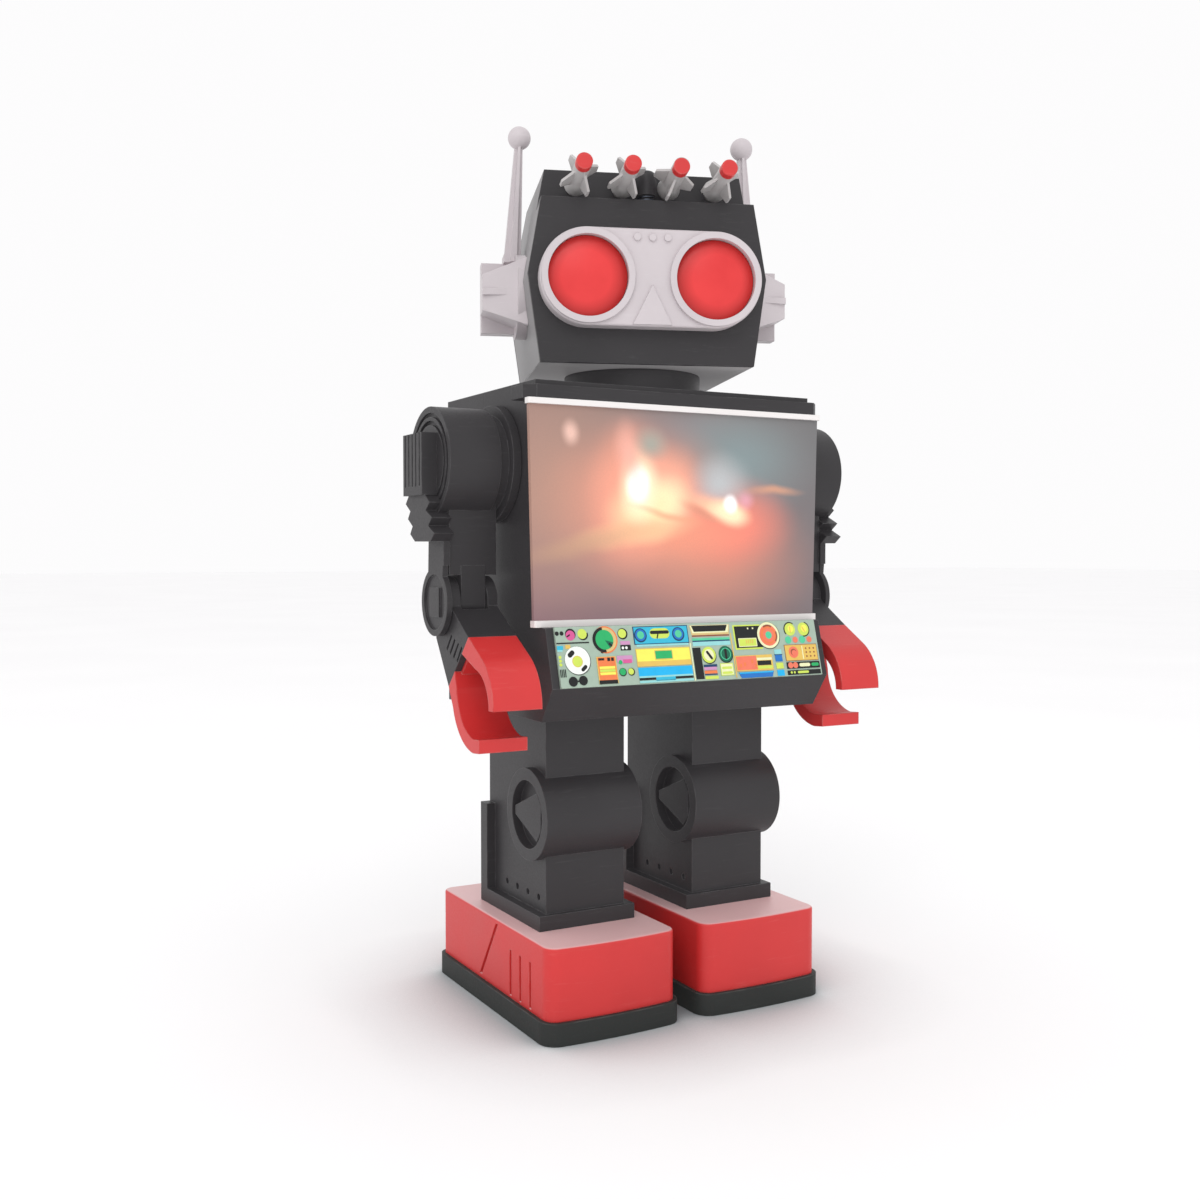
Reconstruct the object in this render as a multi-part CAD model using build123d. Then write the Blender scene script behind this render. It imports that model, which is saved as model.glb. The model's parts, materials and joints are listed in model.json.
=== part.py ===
from build123d import *
import os
from math import sin, cos, radians, atan2, hypot, sqrt, pi

# Clockwork television robot, standing on its two feet, face and screen towards -Y.
# All sizes are millimetres. While the parts are made, y is measured from the neck's
# axis; at the end everything is moved along Y so that the origin is on the floor
# under the middle of the robot's whole depth. The robot's left side is +X.

# Shells and clearances
WALL = 2.2               # wall of every moulded shell
PLATE = 1.5              # brass plate of the movement
GAP = 0.5                # air between two bodies that pass each other
RUN = 0.05               # radial clearance of a turning or sliding shaft
SEAT = 0.1               # clearance of a piece pushed into its seat

# Feet
FOOT_SPACING = 11.0      # between the two red shells
FOOT_WIDTH = 52.0
FOOT_FRONT = -43.7
FOOT_BACK = 53.2
TOE_BOW = 1.6            # how far the toe bulges past its corners
TOE_CORNER = 5.0
HEEL_CORNER = 4.0
FOOT_TOP = 33.5
FOOT_TOP_ROUND = 1.0
GROOVE_Y = FOOT_FRONT + 15.7     # first upright groove on the foot's outer side
GROOVE_PITCH = 8.1
GROOVE_WIDTH = 1.6
GROOVE_HEIGHT = 17.5
GROOVE_DEPTH = 0.9
SLANT_WIDTH = 2.0
SLANT_RUN = 14.7         # how far the slanting groove runs back as it comes down
SOLE_HEIGHT = 8.0
SOLE_LIP = 1.5           # sole stands proud of the shell all round
SOLE_FLOOR = 2.6
SOLE_RIM = 2.6
ROLLER_RADIUS = 9.0
ROLLER_WIDTH = 14.0
ROLLER_LIFT = 0.3        # roller's tread above the floor
ROLLER_TRUNNION = 1.6
ROLLER_CHEEK = 3.0       # bracket each side of the roller
ROLLER_Y = 16.0

# Legs
LEG_INNER = 15.0
LEG_OUTER = 47.2
LEG_FRONT = -20.0
LEG_BACK = 29.0
LEG_BASE_HEIGHT = 5.5
LEG_BASE_LIP = 3.5
KNEE_Y = -11.0
LEG_HEIGHT = 77.5        # from the foot's top to the torso
KNEE_Z = FOOT_TOP + 40.5
KNEE_RADIUS = 16.8
KNEE_BORE = KNEE_RADIUS - 4.4
KNEE_STAND_OUT = 3.3
KNEE_RECESS = 3.6
LEG_BASE_TOE = 1.8       # base beyond the leg in front
LEG_BASE_HEEL = 0.8      # and behind
RAIL_WIDTH = 5.0
RAIL_HEIGHT = 38.5
DIMPLE_RADIUS = 1.2
DIMPLE_PITCH = 9.0
DIMPLE_INSET = 6.0
DIMPLE_RISE = 5.0
LEG_TRAVEL = 6.0

# Torso
TORSO_HALF = 58.0
TORSO_BOTTOM = FOOT_TOP + LEG_HEIGHT
TORSO_HEIGHT = 117.0
TORSO_TOP = TORSO_BOTTOM + TORSO_HEIGHT
TORSO_BACK = 44.0
TORSO_SEAM = 9.0         # where front and back shells meet
SCREEN_FRONT = -35.9
SCREEN_THICK = 1.8
SCREEN_EDGE = 5.0        # torso wall left behind the screen's edges
SCREEN_TOP = TORSO_TOP - 8.5
SCREEN_HALF_TOP = TORSO_HALF + 3.3
SCREEN_HALF_BOTTOM = TORSO_HALF + 1.5
PANEL_TOP = TORSO_BOTTOM + 32.3
PANEL_TOP_Y = SCREEN_FRONT - 5.4
PANEL_BOTTOM = TORSO_BOTTOM + 12.0
PANEL_BOTTOM_Y = SCREEN_FRONT - 10.9
PANEL_HALF = TORSO_HALF - 2.9
PANEL_THICK = 1.0
CHIN_Y = SCREEN_FRONT - 2.5
BAR_TOP_HALF = TORSO_HALF + 4.0
BAR_TOP_HEIGHT = 2.0
BAR_TOP_FRONT = SCREEN_FRONT - 1.2
BAR_BOTTOM_HALF = TORSO_HALF + 2.1
BAR_BOTTOM_HEIGHT = 2.3
BAR_BOTTOM_FRONT = SCREEN_FRONT - 1.7
BAR_ROUND = 0.8
FASCIA_HALF = TORSO_HALF + 4.4
FASCIA_TOP = TORSO_TOP - 1.9
FASCIA_FRONT = SCREEN_FRONT - 1.0
FASCIA_DEPTH = 13.0
FASCIA_CHAMFER = 3.6
CASE_SCREW_X = TORSO_HALF - 5.0
CASE_SCREW_INSET = 5.0   # screw axis from the torso's top and bottom
SCREW_SHANK = 1.25
SCREW_HEAD = 2.8
SCREW_BOSS = 3.6
SCREW_SINK = 1.5         # thickness of the head, sunk flush in the back
SCREW_REACH = 9.0        # thread past the seam into the front shell

# Neck
NECK_RADIUS = 26.0
NECK_TOP = TORSO_TOP + 8.2
NECK_TUBE = 12.0
NECK_TUBE_WALL = 2.0
RETAINER_THICK = 2.0

# Head, in its own frame before it is turned
HEAD_TURN = -19.62       # degrees about the neck at rest
HEAD_BOTTOM = NECK_TOP + GAP
HEAD_HALF_BOTTOM = 39.2
HEAD_HALF_WIDEST = 43.6
HEAD_WIDEST = HEAD_BOTTOM + 31.5
HEAD_HALF_SHELF = 38.8
SHELF_Z = HEAD_BOTTOM + 58.5
HEAD_HALF_TOP = 36.4
HEAD_TOP = HEAD_BOTTOM + 71.0
HEAD_FRONT = -32.5
HEAD_BACK = 39.0
SHELF_BACK = HEAD_FRONT + 11.5
HEAD_SCREW_INSET = 10.4
HEAD_SCREW_DIMPLE = 1.6

# Eyes
MASK_HALF_WIDTH = 40.1
MASK_HALF_HEIGHT = 17.25
MASK_Z = HEAD_BOTTOM + 29.6
MASK_DEPTH = 6.6
EYE_X = MASK_HALF_WIDTH - 17.1
EYE_RADIUS = 14.4
EYE_RING = EYE_RADIUS + 2.3
EYE_RING_STAND = 1.4
EYE_FLOOR = 1.5          # mask left behind a lens
LENS_DOME = 2.2          # rise of the lens's front
LENS_SINK = 1.6          # its rim below the mask's face
MASK_ROUND = 1.0
RIVET_PITCH = 5.5
RIVET_Z = MASK_Z + 14.0
RIVET_RADIUS = 1.3
NOSE_TOP = MASK_Z - 2.7
NOSE_BOTTOM = MASK_Z - 16.7
NOSE_HALF = 7.0
NOSE_STAND = 0.8

# Ears and antennas
EAR_Z = HEAD_BOTTOM + 28.6
EAR_FLANGE = 15.6
EAR_OUT = HEAD_HALF_WIDEST + 14.4
EAR_SLAB_HALF = 13.2
EAR_SLAB_Y = (3.0, 9.0)
EAR_FRONT = -14.0        # front edge of the wedge at its root
EAR_FLANGE_STAND = 1.6
EAR_RIB_HALF = 1.2
MAST_FOOT_WIDTH = 6.4
MAST_TOP = EAR_Z + 56.2
BALL_RADIUS = 4.3
BALL_X = HEAD_HALF_WIDEST - 0.4
BALL_Y = 0.75
BALL_Z = MAST_TOP + 3.7

# Missiles
MISSILE_SPACING = 17.1
MISSILE_TAIL_Y = HEAD_FRONT + 6.5
MISSILE_TAIL_Z = SHELF_Z + 6.0
MISSILE_RISE = 5.5       # degrees above level
MISSILE_LENGTH = 22.4
MISSILE_RADIUS = 2.9
MISSILE_SKIRT = MISSILE_RADIUS + 1.3
MISSILE_FIN = MISSILE_RADIUS + 4.3
MISSILE_STEM = MISSILE_RADIUS - 0.9
MISSILE_STEM_LENGTH = 12.0
SKIRT_LENGTH = 6.0
FIN_HALF_THICK = 0.45
FIN_ROLLS = (25, 25, 70, 25)      # degrees that each missile is turned about its axis
LAUNCHER_DEPTH = 16.0
SPRING_COIL = 0.25       # wire radius of the launching springs
BUTTON_COIL = 0.3
BUTTON_RADIUS = 3.9
BUTTON_Y = HEAD_FRONT + 6.1
BUTTON_DOME = 2.4
BUTTON_STEM = 2.0
BUTTON_STEM_LENGTH = 9.0
BUTTON_LIFT = 2.8        # cap's underside above the shelf
BUTTON_TOP = SHELF_Z + 11.8

# Arms
SHOULDER_Y = -3.0
SHOULDER_Z = TORSO_TOP - 27.3
SHOULDER_DRUM = 19.5
SHOULDER_FLANGE = SHOULDER_DRUM + 1.5
SHOULDER_OUT = TORSO_HALF + 26.4
SHOULDER_AXLE = 3.0
AXLE_REACH = 12.0        # axle's length outside the torso
RING_GROOVES = (SHOULDER_DRUM - 2.2, SHOULDER_DRUM - 5.0)
RING_WIDTH = 1.5
ARM_INNER = TORSO_HALF + 5.1
ARM_WIDTH = 17.9
ARM_OUTER = ARM_INNER + ARM_WIDTH
ARM_FRONT = SHOULDER_Y - 9.6
ARM_BACK = SHOULDER_Y + 8.0
ELBOW_Y = SHOULDER_Y - 1.7
UPPER_ARM = 49.3         # from the shoulder's axis down to the elbow's
ELBOW_Z = SHOULDER_Z - UPPER_ARM
ELBOW_RADIUS = 9.2
ELBOW_DISC = 12.0
ELBOW_PIN = 2.5
ELBOW_DISC_OUT = ARM_OUTER + 2.5
TONGUE_HALF = 4.6
ACTUATOR_OUT = SHOULDER_OUT + 5.6
ACTUATOR_RISE = 9.9      # top above the shoulder's axis
ACTUATOR_HEIGHT = 21.6
BELLOWS_TEETH = 3
BELLOWS_PITCH = 5.4
ACTUATOR_FRONT = SHOULDER_Y - 7.0
ACTUATOR_BACK = SHOULDER_Y + 11.0
CLAW_TONGUE = 9.0        # half the plug's height
CLAW_PLUG = 7.0          # how far it goes into the forearm
CLAW_WALL = 2.5          # forearm's wall beside it

# Movement
ARBOR_Z = TORSO_BOTTOM + 39.0
ARBOR_RADIUS = 3.0
REAR_PLATE_Y = TORSO_BACK - 10.0
FRONT_PLATE_Y = 16.0
FRAME_HALF = 34.0
FRAME_HALF_HEIGHT = 26.0
PILLAR_RADIUS = 2.5
PILLAR_INSET = 4.0
CHEEK_MARGIN = 5.0       # metal round the governor's bearing
CHEEK_ABOVE = 7.0        # and above the crank's
CHEEK_X = FRAME_HALF - 2.5
GEAR_X = -CHEEK_X + 2.5           # middle of the gears that drive drum and governor
GEAR_WIDTH = 3.0
CROWN_TEETH = 30
PINION_TEETH = 10
CROWN_MODULE = 1.6
CROWN_BACK = 14.0
CROWN_THICK = 2.0
CROWN_TOOTH_HALF = 2.2   # half a tooth's length along the radius
CROWN_HOLES = 5
CROWN_HOLE_RADIUS = 4.2
TOOTH_ABOVE = 0.8        # of the module, above the pitch circle
TOOTH_BELOW = 1.15       # of the module, below it
CRANK_RADIUS = 2.5
CRANK_GEAR_TEETH = 18
CRANK_THROW = 5.0
CRANK_PIN = 2.0
CRANK_DISC = 2.0         # thickness of the disc that carries the pin
DRUM_GEAR_TEETH = 35
DRUM_MODULE = 1.25
DRUM_Y = -8.0
DRUM_RADIUS = 17.5
DRUM_HALF = TORSO_HALF - 14.0
DRUM_TRUNNION = 2.0
DRUM_TRUNNION_LENGTH = 10.0
GOVERNOR_TEETH = 10
GOVERNOR_RADIUS = 1.5
BRAKE_X = (-6.0, 12.0)
BRAKE_HALF_WIDTH = 9.0
BRAKE_HALF_THICK = 0.6
GOVERNOR_FALL = 40.0     # degrees below level, in front of the crank
SPRING_OUTER = 22.5
SPRING_STRIP = 0.5
SPRING_PITCH = 1.9
SPRING_WIDTH = 8.0
SPRING_GAP = 3.0         # from the front plate to the strip
GUIDE_Z = TORSO_BOTTOM + 11.0
GUIDE_RADIUS = 2.0
GUIDE_FRONT = LEG_FRONT - 12.5
GUIDE_BACK = REAR_PLATE_Y + 3.5
HANGER_INNER = CHEEK_X + PLATE + 4.5
HANGER_OUTER = HANGER_INNER + 3.0
HANGER_HALF = 10.0       # half the plate's depth
HANGER_FRAME = 4.0       # metal round the crank pin's window
KEY_START = TORSO_BACK + 8.0
KEY_LENGTH = 16.0
KEY_HALF_SPAN = 20.0
KEY_HALF_HEIGHT = 8.5
KEY_HALF_THICK = 1.3
KEY_RIM = 4.0            # metal round the hole in a wing
KEY_HUB = ARBOR_RADIUS + 2.0
LEVER_Z = TORSO_BOTTOM + 22.0
LEVER_X = 41.0
LEVER_TRAVEL = 6.0
LEVER_NECK = 2.0         # half the neck that passes the slot
LEVER_PAD = 2.5          # thickness of the pad inside the case
LEVER_KNOB = 4.0         # half the knob's width

# Sizes that follow from those above
torso_front_wall = SCREEN_FRONT + SCREEN_THICK
bar_bottom_top = PANEL_TOP + BAR_BOTTOM_HEIGHT
bar_top_top = SCREEN_TOP + BAR_TOP_HEIGHT
leg_top = TORSO_BOTTOM - GAP
hanger_middle = (HANGER_INNER + HANGER_OUTER) / 2
arm_middle = (ARM_INNER + ARM_OUTER) / 2
foot_inner = FOOT_SPACING / 2
foot_outer = foot_inner + FOOT_WIDTH
foot_middle = foot_inner + FOOT_WIDTH / 2
crown_radius = CROWN_MODULE * CROWN_TEETH / 2
pinion_radius = CROWN_MODULE * PINION_TEETH / 2
crown_face = CROWN_BACK - CROWN_THICK
crank_disc_x = CHEEK_X + PLATE + 1
crown_pitch_y = crown_face - CROWN_MODULE * TOOTH_BELOW
crank_y = crown_pitch_y - pinion_radius
crank_z = ARBOR_Z
drum_distance = DRUM_MODULE * (CRANK_GEAR_TEETH + DRUM_GEAR_TEETH) / 2
drum_z = crank_z + sqrt(drum_distance**2 - (crank_y - DRUM_Y)**2)
governor_distance = DRUM_MODULE * (CRANK_GEAR_TEETH + GOVERNOR_TEETH) / 2
governor_y = crank_y - governor_distance * cos(radians(GOVERNOR_FALL))
governor_z = crank_z - governor_distance * sin(radians(GOVERNOR_FALL))


# ---------- shared shapes ----------

def block(x, y, z):
    """Box from its low and high x, y and z."""
    sizes = [high - low for low, high in (x, y, z)]
    middle = [(high + low) / 2 for low, high in (x, y, z)]
    return Pos(*middle) * Box(*sizes)


def rod_x(radius, x, y, z):
    return Pos((x[0] + x[1]) / 2, y, z) * Rot(0, 90, 0) * Cylinder(radius, x[1] - x[0])


def rod_y(radius, x, y, z):
    return Pos(x, (y[0] + y[1]) / 2, z) * Rot(90, 0, 0) * Cylinder(radius, y[1] - y[0])


def rod_z(radius, x, y, z):
    return Pos(x, y, (z[0] + z[1]) / 2) * Cylinder(radius, z[1] - z[0])


def polygon(points):
    return make_face(Polyline(*points, close=True))


def along_x(face, x):
    """Extrude a face drawn in (y, z) from one x to another."""
    return extrude(Plane.YZ.offset(x[0]) * face, amount=x[1] - x[0], dir=(1, 0, 0))


def along_y(face, y):
    """Extrude a face drawn in (x, z) from one y to another."""
    return extrude(Plane.XZ.offset(-y[0]) * face, amount=y[1] - y[0], dir=(0, 1, 0))


def along_z(face, z):
    return extrude(Plane.XY.offset(z[0]) * face, amount=z[1] - z[0], dir=(0, 0, 1))


def inset(face, amount):
    return offset(face, amount=-amount, kind=Kind.INTERSECTION)


def other_side(shape):
    return mirror(shape, about=Plane.YZ)


def together(shapes):
    """Separate solids kept in one node."""
    group = shapes[0]
    for shape in shapes[1:]:
        group += shape
    return group


def gear_face(teeth, module, centre, tooth_at):
    """Gear outline drawn in a plane, one tooth pointing along the angle tooth_at."""
    pitch_angle = 2 * pi / teeth
    root = module * (teeth / 2 - TOOTH_BELOW)
    tip = module * (teeth / 2 + TOOTH_ABOVE)
    points = []
    for number in range(teeth):
        middle = tooth_at + number * pitch_angle
        for radius, share in ((root, -0.26), (tip, -0.1), (tip, 0.1), (root, 0.26)):
            angle = middle + share * pitch_angle
            points.append((centre[0] + radius * cos(angle), centre[1] + radius * sin(angle)))
    return polygon(points)


def meshed_tooth(tooth_at, teeth, partner_teeth, direction):
    """Angle of a partner's tooth, so that its gap takes the first gear's nearest tooth."""
    past_tooth = (direction - tooth_at) % (2 * pi / teeth)
    gap_at = direction + pi + past_tooth * teeth / partner_teeth
    return gap_at + pi / partner_teeth


# ---------- feet and legs (left side; the right side is the mirror image) ----------

def foot_face(grow):
    inner = foot_inner - grow
    outer = foot_outer + grow
    front = FOOT_FRONT - grow
    back = FOOT_BACK + grow
    corner = front + TOE_BOW
    toe = ThreePointArc((inner, corner), (foot_middle, front), (outer, corner))
    sides = Polyline((outer, corner), (outer, back), (inner, back), (inner, corner))
    return make_face(Curve() + [toe, sides])


def foot_solid(grow, z):
    solid = along_z(foot_face(grow), z)
    upright = solid.edges().filter_by(Axis.Z).sort_by(Axis.Y)
    solid = fillet(upright[:2], TOE_CORNER + grow)
    upright = solid.edges().filter_by(Axis.Z).sort_by(Axis.Y)
    return fillet(upright[-2:], HEEL_CORNER + grow)


def foot_shell():
    solid = foot_solid(0, (SOLE_HEIGHT, FOOT_TOP))
    solid = fillet(solid.faces().sort_by(Axis.Z)[-1].edges(), FOOT_TOP_ROUND)
    solid -= foot_solid(-WALL, (SOLE_HEIGHT - 1, FOOT_TOP - WALL))
    groove_x = (foot_outer - GROOVE_DEPTH, foot_outer + 1)
    groove_z = (SOLE_HEIGHT + 1, SOLE_HEIGHT + GROOVE_HEIGHT)
    for number in range(3):
        y = GROOVE_Y + GROOVE_PITCH * number
        solid -= block(groove_x, (y - GROOVE_WIDTH / 2, y + GROOVE_WIDTH / 2), groove_z)
    top_y = GROOVE_Y + 3 * GROOVE_PITCH + 3.7
    low_y = top_y + SLANT_RUN
    half = SLANT_WIDTH / 2
    slant = polygon([(top_y - half, FOOT_TOP - 1.5), (top_y + half, FOOT_TOP - 1.5),
                     (low_y + half, SOLE_HEIGHT + 1.6), (low_y - half, SOLE_HEIGHT + 1.6)])
    return solid - along_x(slant, groove_x)


def roller_space(grow):
    """Room for the roller, drawn about its axle."""
    x = (foot_middle - ROLLER_WIDTH / 2 - grow, foot_middle + ROLLER_WIDTH / 2 + grow)
    return rod_x(ROLLER_RADIUS + grow, x, ROLLER_Y, ROLLER_RADIUS + ROLLER_LIFT)


def sole():
    solid = foot_solid(SOLE_LIP, (0, SOLE_HEIGHT))
    solid -= foot_solid(-SOLE_RIM, (SOLE_FLOOR, SOLE_HEIGHT + 1))
    axle_z = ROLLER_RADIUS + ROLLER_LIFT
    cheek_top = axle_z + ROLLER_TRUNNION + 2.5
    cheek_y = (ROLLER_Y - ROLLER_TRUNNION - 3.4, ROLLER_Y + ROLLER_TRUNNION + 3.4)
    for side in (-1, 1):
        near = foot_middle + side * (ROLLER_WIDTH / 2 + GAP)
        x = sorted((near, near + side * ROLLER_CHEEK))
        solid += block(x, cheek_y, (SOLE_FLOOR, cheek_top))
    solid -= roller_space(GAP)
    reach = ROLLER_WIDTH / 2 + GAP + ROLLER_CHEEK + 1
    x = (foot_middle - reach, foot_middle + reach)
    return solid - rod_x(ROLLER_TRUNNION + RUN, x, ROLLER_Y, axle_z)


def foot_roller():
    reach = ROLLER_WIDTH / 2 + GAP + ROLLER_CHEEK - 0.2
    x = (foot_middle - reach, foot_middle + reach)
    solid = roller_space(0)
    solid += rod_x(ROLLER_TRUNNION, x, ROLLER_Y, ROLLER_RADIUS + ROLLER_LIFT)
    return solid


def leg():
    """Thigh and shin in one moulding; the knee's drum has a wedge-shaped web at each end."""
    base_top = FOOT_TOP + LEG_BASE_HEIGHT
    base_x = (LEG_INNER - LEG_BASE_LIP, LEG_OUTER + LEG_BASE_LIP)
    base_y = (LEG_FRONT - LEG_BASE_TOE, LEG_BACK + LEG_BASE_HEEL)
    solid = block((LEG_INNER, LEG_OUTER), (LEG_FRONT, LEG_BACK), (FOOT_TOP, leg_top))
    solid += block(base_x, base_y, (FOOT_TOP, base_top))
    knee_x = (LEG_INNER - KNEE_STAND_OUT, LEG_OUTER + KNEE_STAND_OUT)
    solid += rod_x(KNEE_RADIUS, knee_x, KNEE_Y, KNEE_Z)
    rail_y = (LEG_BACK - RAIL_WIDTH, base_y[1])
    solid += block(base_x, rail_y, (FOOT_TOP, FOOT_TOP + RAIL_HEIGHT))
    hollow_x = (LEG_INNER + KNEE_RECESS, LEG_OUTER - KNEE_RECESS)
    hollow_y = (LEG_FRONT + WALL, LEG_BACK - WALL)
    solid -= block(hollow_x, hollow_y, (FOOT_TOP - 1, leg_top - 3 * WALL))
    back_y = KNEE_Y + KNEE_BORE - 2.0
    rim_y = KNEE_Y - 0.6 * KNEE_BORE
    rim_z = 0.71 * KNEE_BORE
    tip_y = KNEE_Y - KNEE_BORE + 1.8
    half_fan = [(back_y, 1.6), (rim_y, rim_z), (tip_y, rim_z / 2)]
    fan = polygon([(y, KNEE_Z + z) for y, z in half_fan]
                  + [(y, KNEE_Z - z) for y, z in reversed(half_fan)])
    for outward, end, face in ((-1, knee_x[0], LEG_INNER), (1, knee_x[1], LEG_OUTER)):
        floor = end - outward * KNEE_RECESS
        solid -= rod_x(KNEE_BORE, sorted((floor, end + outward)), KNEE_Y, KNEE_Z)
        solid += along_x(fan, sorted((floor - outward * 0.5, end - outward * 0.4)))
        dimple_x = sorted((face - outward * DIMPLE_RADIUS, face + outward))
        for number in range(4):
            dimple_y = LEG_FRONT + DIMPLE_INSET + DIMPLE_PITCH * number
            solid -= rod_x(DIMPLE_RADIUS, dimple_x, dimple_y, base_top + DIMPLE_RISE)
    slot_x = (HANGER_INNER - SEAT, HANGER_OUTER + SEAT)
    slot_y = (crank_y - HANGER_HALF - SEAT, crank_y + HANGER_HALF + SEAT)
    solid -= block(slot_x, slot_y, (leg_top - 4 * WALL, leg_top + 1))
    return solid


def leg_hanger():
    """Plate on the leg's top: it hangs on the guide rod and rings the crank pin."""
    x = (HANGER_INNER, HANGER_OUTER)
    window_y = CRANK_THROW + CRANK_PIN + GAP + LEG_TRAVEL
    window_z = CRANK_THROW + CRANK_PIN + GAP
    plate_y = (crank_y - HANGER_HALF, crank_y + HANGER_HALF)
    solid = block(x, plate_y, (leg_top - 3 * WALL, crank_z - window_z))
    solid += block(x, (crank_y - window_y - HANGER_FRAME, crank_y + window_y + HANGER_FRAME),
                   (crank_z - window_z - HANGER_FRAME, crank_z + window_z + HANGER_FRAME))
    solid -= block((x[0] - 1, x[1] + 1), (crank_y - window_y, crank_y + window_y),
                   (crank_z - window_z, crank_z + window_z))
    bush = GUIDE_RADIUS + 2.5
    solid += block((hanger_middle - bush, hanger_middle + bush), plate_y,
                   (GUIDE_Z - bush, GUIDE_Z + bush))
    bore_y = (plate_y[0] - 1, plate_y[1] + 1)
    return solid - rod_y(GUIDE_RADIUS + RUN, hanger_middle, bore_y, GUIDE_Z)


# ---------- torso ----------

def torso_face(wall_inset):
    profile = polygon([(CHIN_Y, TORSO_BOTTOM), (PANEL_BOTTOM_Y, PANEL_BOTTOM),
                       (PANEL_TOP_Y, PANEL_TOP), (torso_front_wall, PANEL_TOP),
                       (torso_front_wall, TORSO_TOP), (TORSO_BACK, TORSO_TOP),
                       (TORSO_BACK, TORSO_BOTTOM)])
    return inset(profile, wall_inset) if wall_inset else profile


def case_screw_places():
    low = TORSO_BOTTOM + CASE_SCREW_INSET
    high = TORSO_TOP - CASE_SCREW_INSET
    return [(x, z) for x in (-CASE_SCREW_X, CASE_SCREW_X) for z in (low, high)]


def torso_shell():
    """Whole torso shell before it is parted at the seam."""
    outer = along_x(torso_face(0), (-TORSO_HALF, TORSO_HALF))
    inside = TORSO_HALF - WALL
    back_inside = TORSO_BACK - WALL
    solid = outer - along_x(torso_face(WALL), (-inside, inside))
    for x, z in case_screw_places():
        solid += rod_y(SCREW_BOSS, x, (TORSO_SEAM - SCREW_REACH - 3, back_inside), z)
    boss = 2 * GUIDE_RADIUS
    for side in (-1, 1):
        rod_at = side * hanger_middle
        solid += rod_y(boss, rod_at, (PANEL_BOTTOM_Y, LEG_FRONT - 10), GUIDE_Z) & outer
        solid += rod_y(boss, rod_at, (REAR_PLATE_Y, back_inside), GUIDE_Z)
        solid += rod_x(DRUM_TRUNNION + 3, sorted((side * (DRUM_HALF + 6), side * inside)),
                       DRUM_Y, drum_z)
    for x, z in case_screw_places():
        solid -= rod_y(SCREW_SHANK + SEAT, x, (TORSO_SEAM - SCREW_REACH - 1, TORSO_BACK + 1), z)
        solid -= rod_y(SCREW_HEAD + SEAT, x, (TORSO_BACK - SCREW_SINK - SEAT, TORSO_BACK + 1), z)
    for side in (-1, 1):
        guide_y = (GUIDE_FRONT - GAP, GUIDE_BACK + GAP)
        solid -= rod_y(GUIDE_RADIUS + SEAT, side * hanger_middle, guide_y, GUIDE_Z)
        slot_x = sorted((side * (HANGER_INNER - GAP), side * (HANGER_OUTER + GAP)))
        reach = HANGER_HALF + LEG_TRAVEL + GAP
        solid -= block(slot_x, (crank_y - reach, crank_y + reach),
                       (TORSO_BOTTOM - 1, TORSO_BOTTOM + WALL + 1))
        trunnion_x = sorted((side * (DRUM_HALF - 4), side * (DRUM_HALF + DRUM_TRUNNION_LENGTH + GAP)))
        solid -= rod_x(DRUM_TRUNNION + RUN, trunnion_x, DRUM_Y, drum_z)
        axle_x = sorted((side * (inside - 16), side * (TORSO_HALF + 12)))
        solid -= rod_x(SHOULDER_AXLE + RUN, axle_x, SHOULDER_Y, SHOULDER_Z)
    screen_x = (-TORSO_HALF + SCREEN_EDGE + 1, TORSO_HALF - SCREEN_EDGE - 1)
    solid -= block(screen_x, (torso_front_wall - 1, torso_front_wall + WALL + 1),
                   (bar_bottom_top + SCREEN_EDGE, SCREEN_TOP - SCREEN_EDGE))
    solid -= rod_z(NECK_TUBE - NECK_TUBE_WALL, 0, 0, (TORSO_TOP - WALL - 1, TORSO_TOP + 1))
    back_wall = (back_inside - 1, TORSO_BACK + 1)
    solid -= rod_y(ARBOR_RADIUS + GAP, 0, back_wall, ARBOR_Z)
    slot_x = (LEVER_X - LEVER_NECK - GAP, LEVER_X + LEVER_NECK + LEVER_TRAVEL + GAP)
    slot_z = (LEVER_Z - LEVER_NECK - GAP, LEVER_Z + LEVER_NECK + GAP)
    return solid - block(slot_x, back_wall, slot_z)


def torso_halves():
    whole = torso_shell()
    wide = 200
    front = whole & block((-wide, wide), (-wide, TORSO_SEAM), (0, 2 * wide))
    back = whole & block((-wide, wide), (TORSO_SEAM, wide), (0, 2 * wide))
    return front, back


def torso_fascia():
    half = FASCIA_HALF
    face = polygon([(-half, FASCIA_FRONT + FASCIA_CHAMFER), (-half + FASCIA_CHAMFER, FASCIA_FRONT),
                    (half - FASCIA_CHAMFER, FASCIA_FRONT), (half, FASCIA_FRONT + FASCIA_CHAMFER),
                    (half, FASCIA_FRONT + FASCIA_DEPTH), (-half, FASCIA_FRONT + FASCIA_DEPTH)])
    solid = along_z(face, (bar_top_top, FASCIA_TOP))
    return solid - along_x(torso_face(0), (-TORSO_HALF, TORSO_HALF))


def screen_bar(half, front, z):
    solid = block((-half, half), (front, torso_front_wall), z)
    ends = solid.edges().filter_by(Axis.Z).sort_by(Axis.Y)[:2]
    return fillet(ends, BAR_ROUND)


def screen_window():
    outline = polygon([(-SCREEN_HALF_BOTTOM, bar_bottom_top), (SCREEN_HALF_BOTTOM, bar_bottom_top),
                       (SCREEN_HALF_TOP, SCREEN_TOP), (-SCREEN_HALF_TOP, SCREEN_TOP)])
    return along_y(outline, (SCREEN_FRONT, torso_front_wall))


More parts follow.
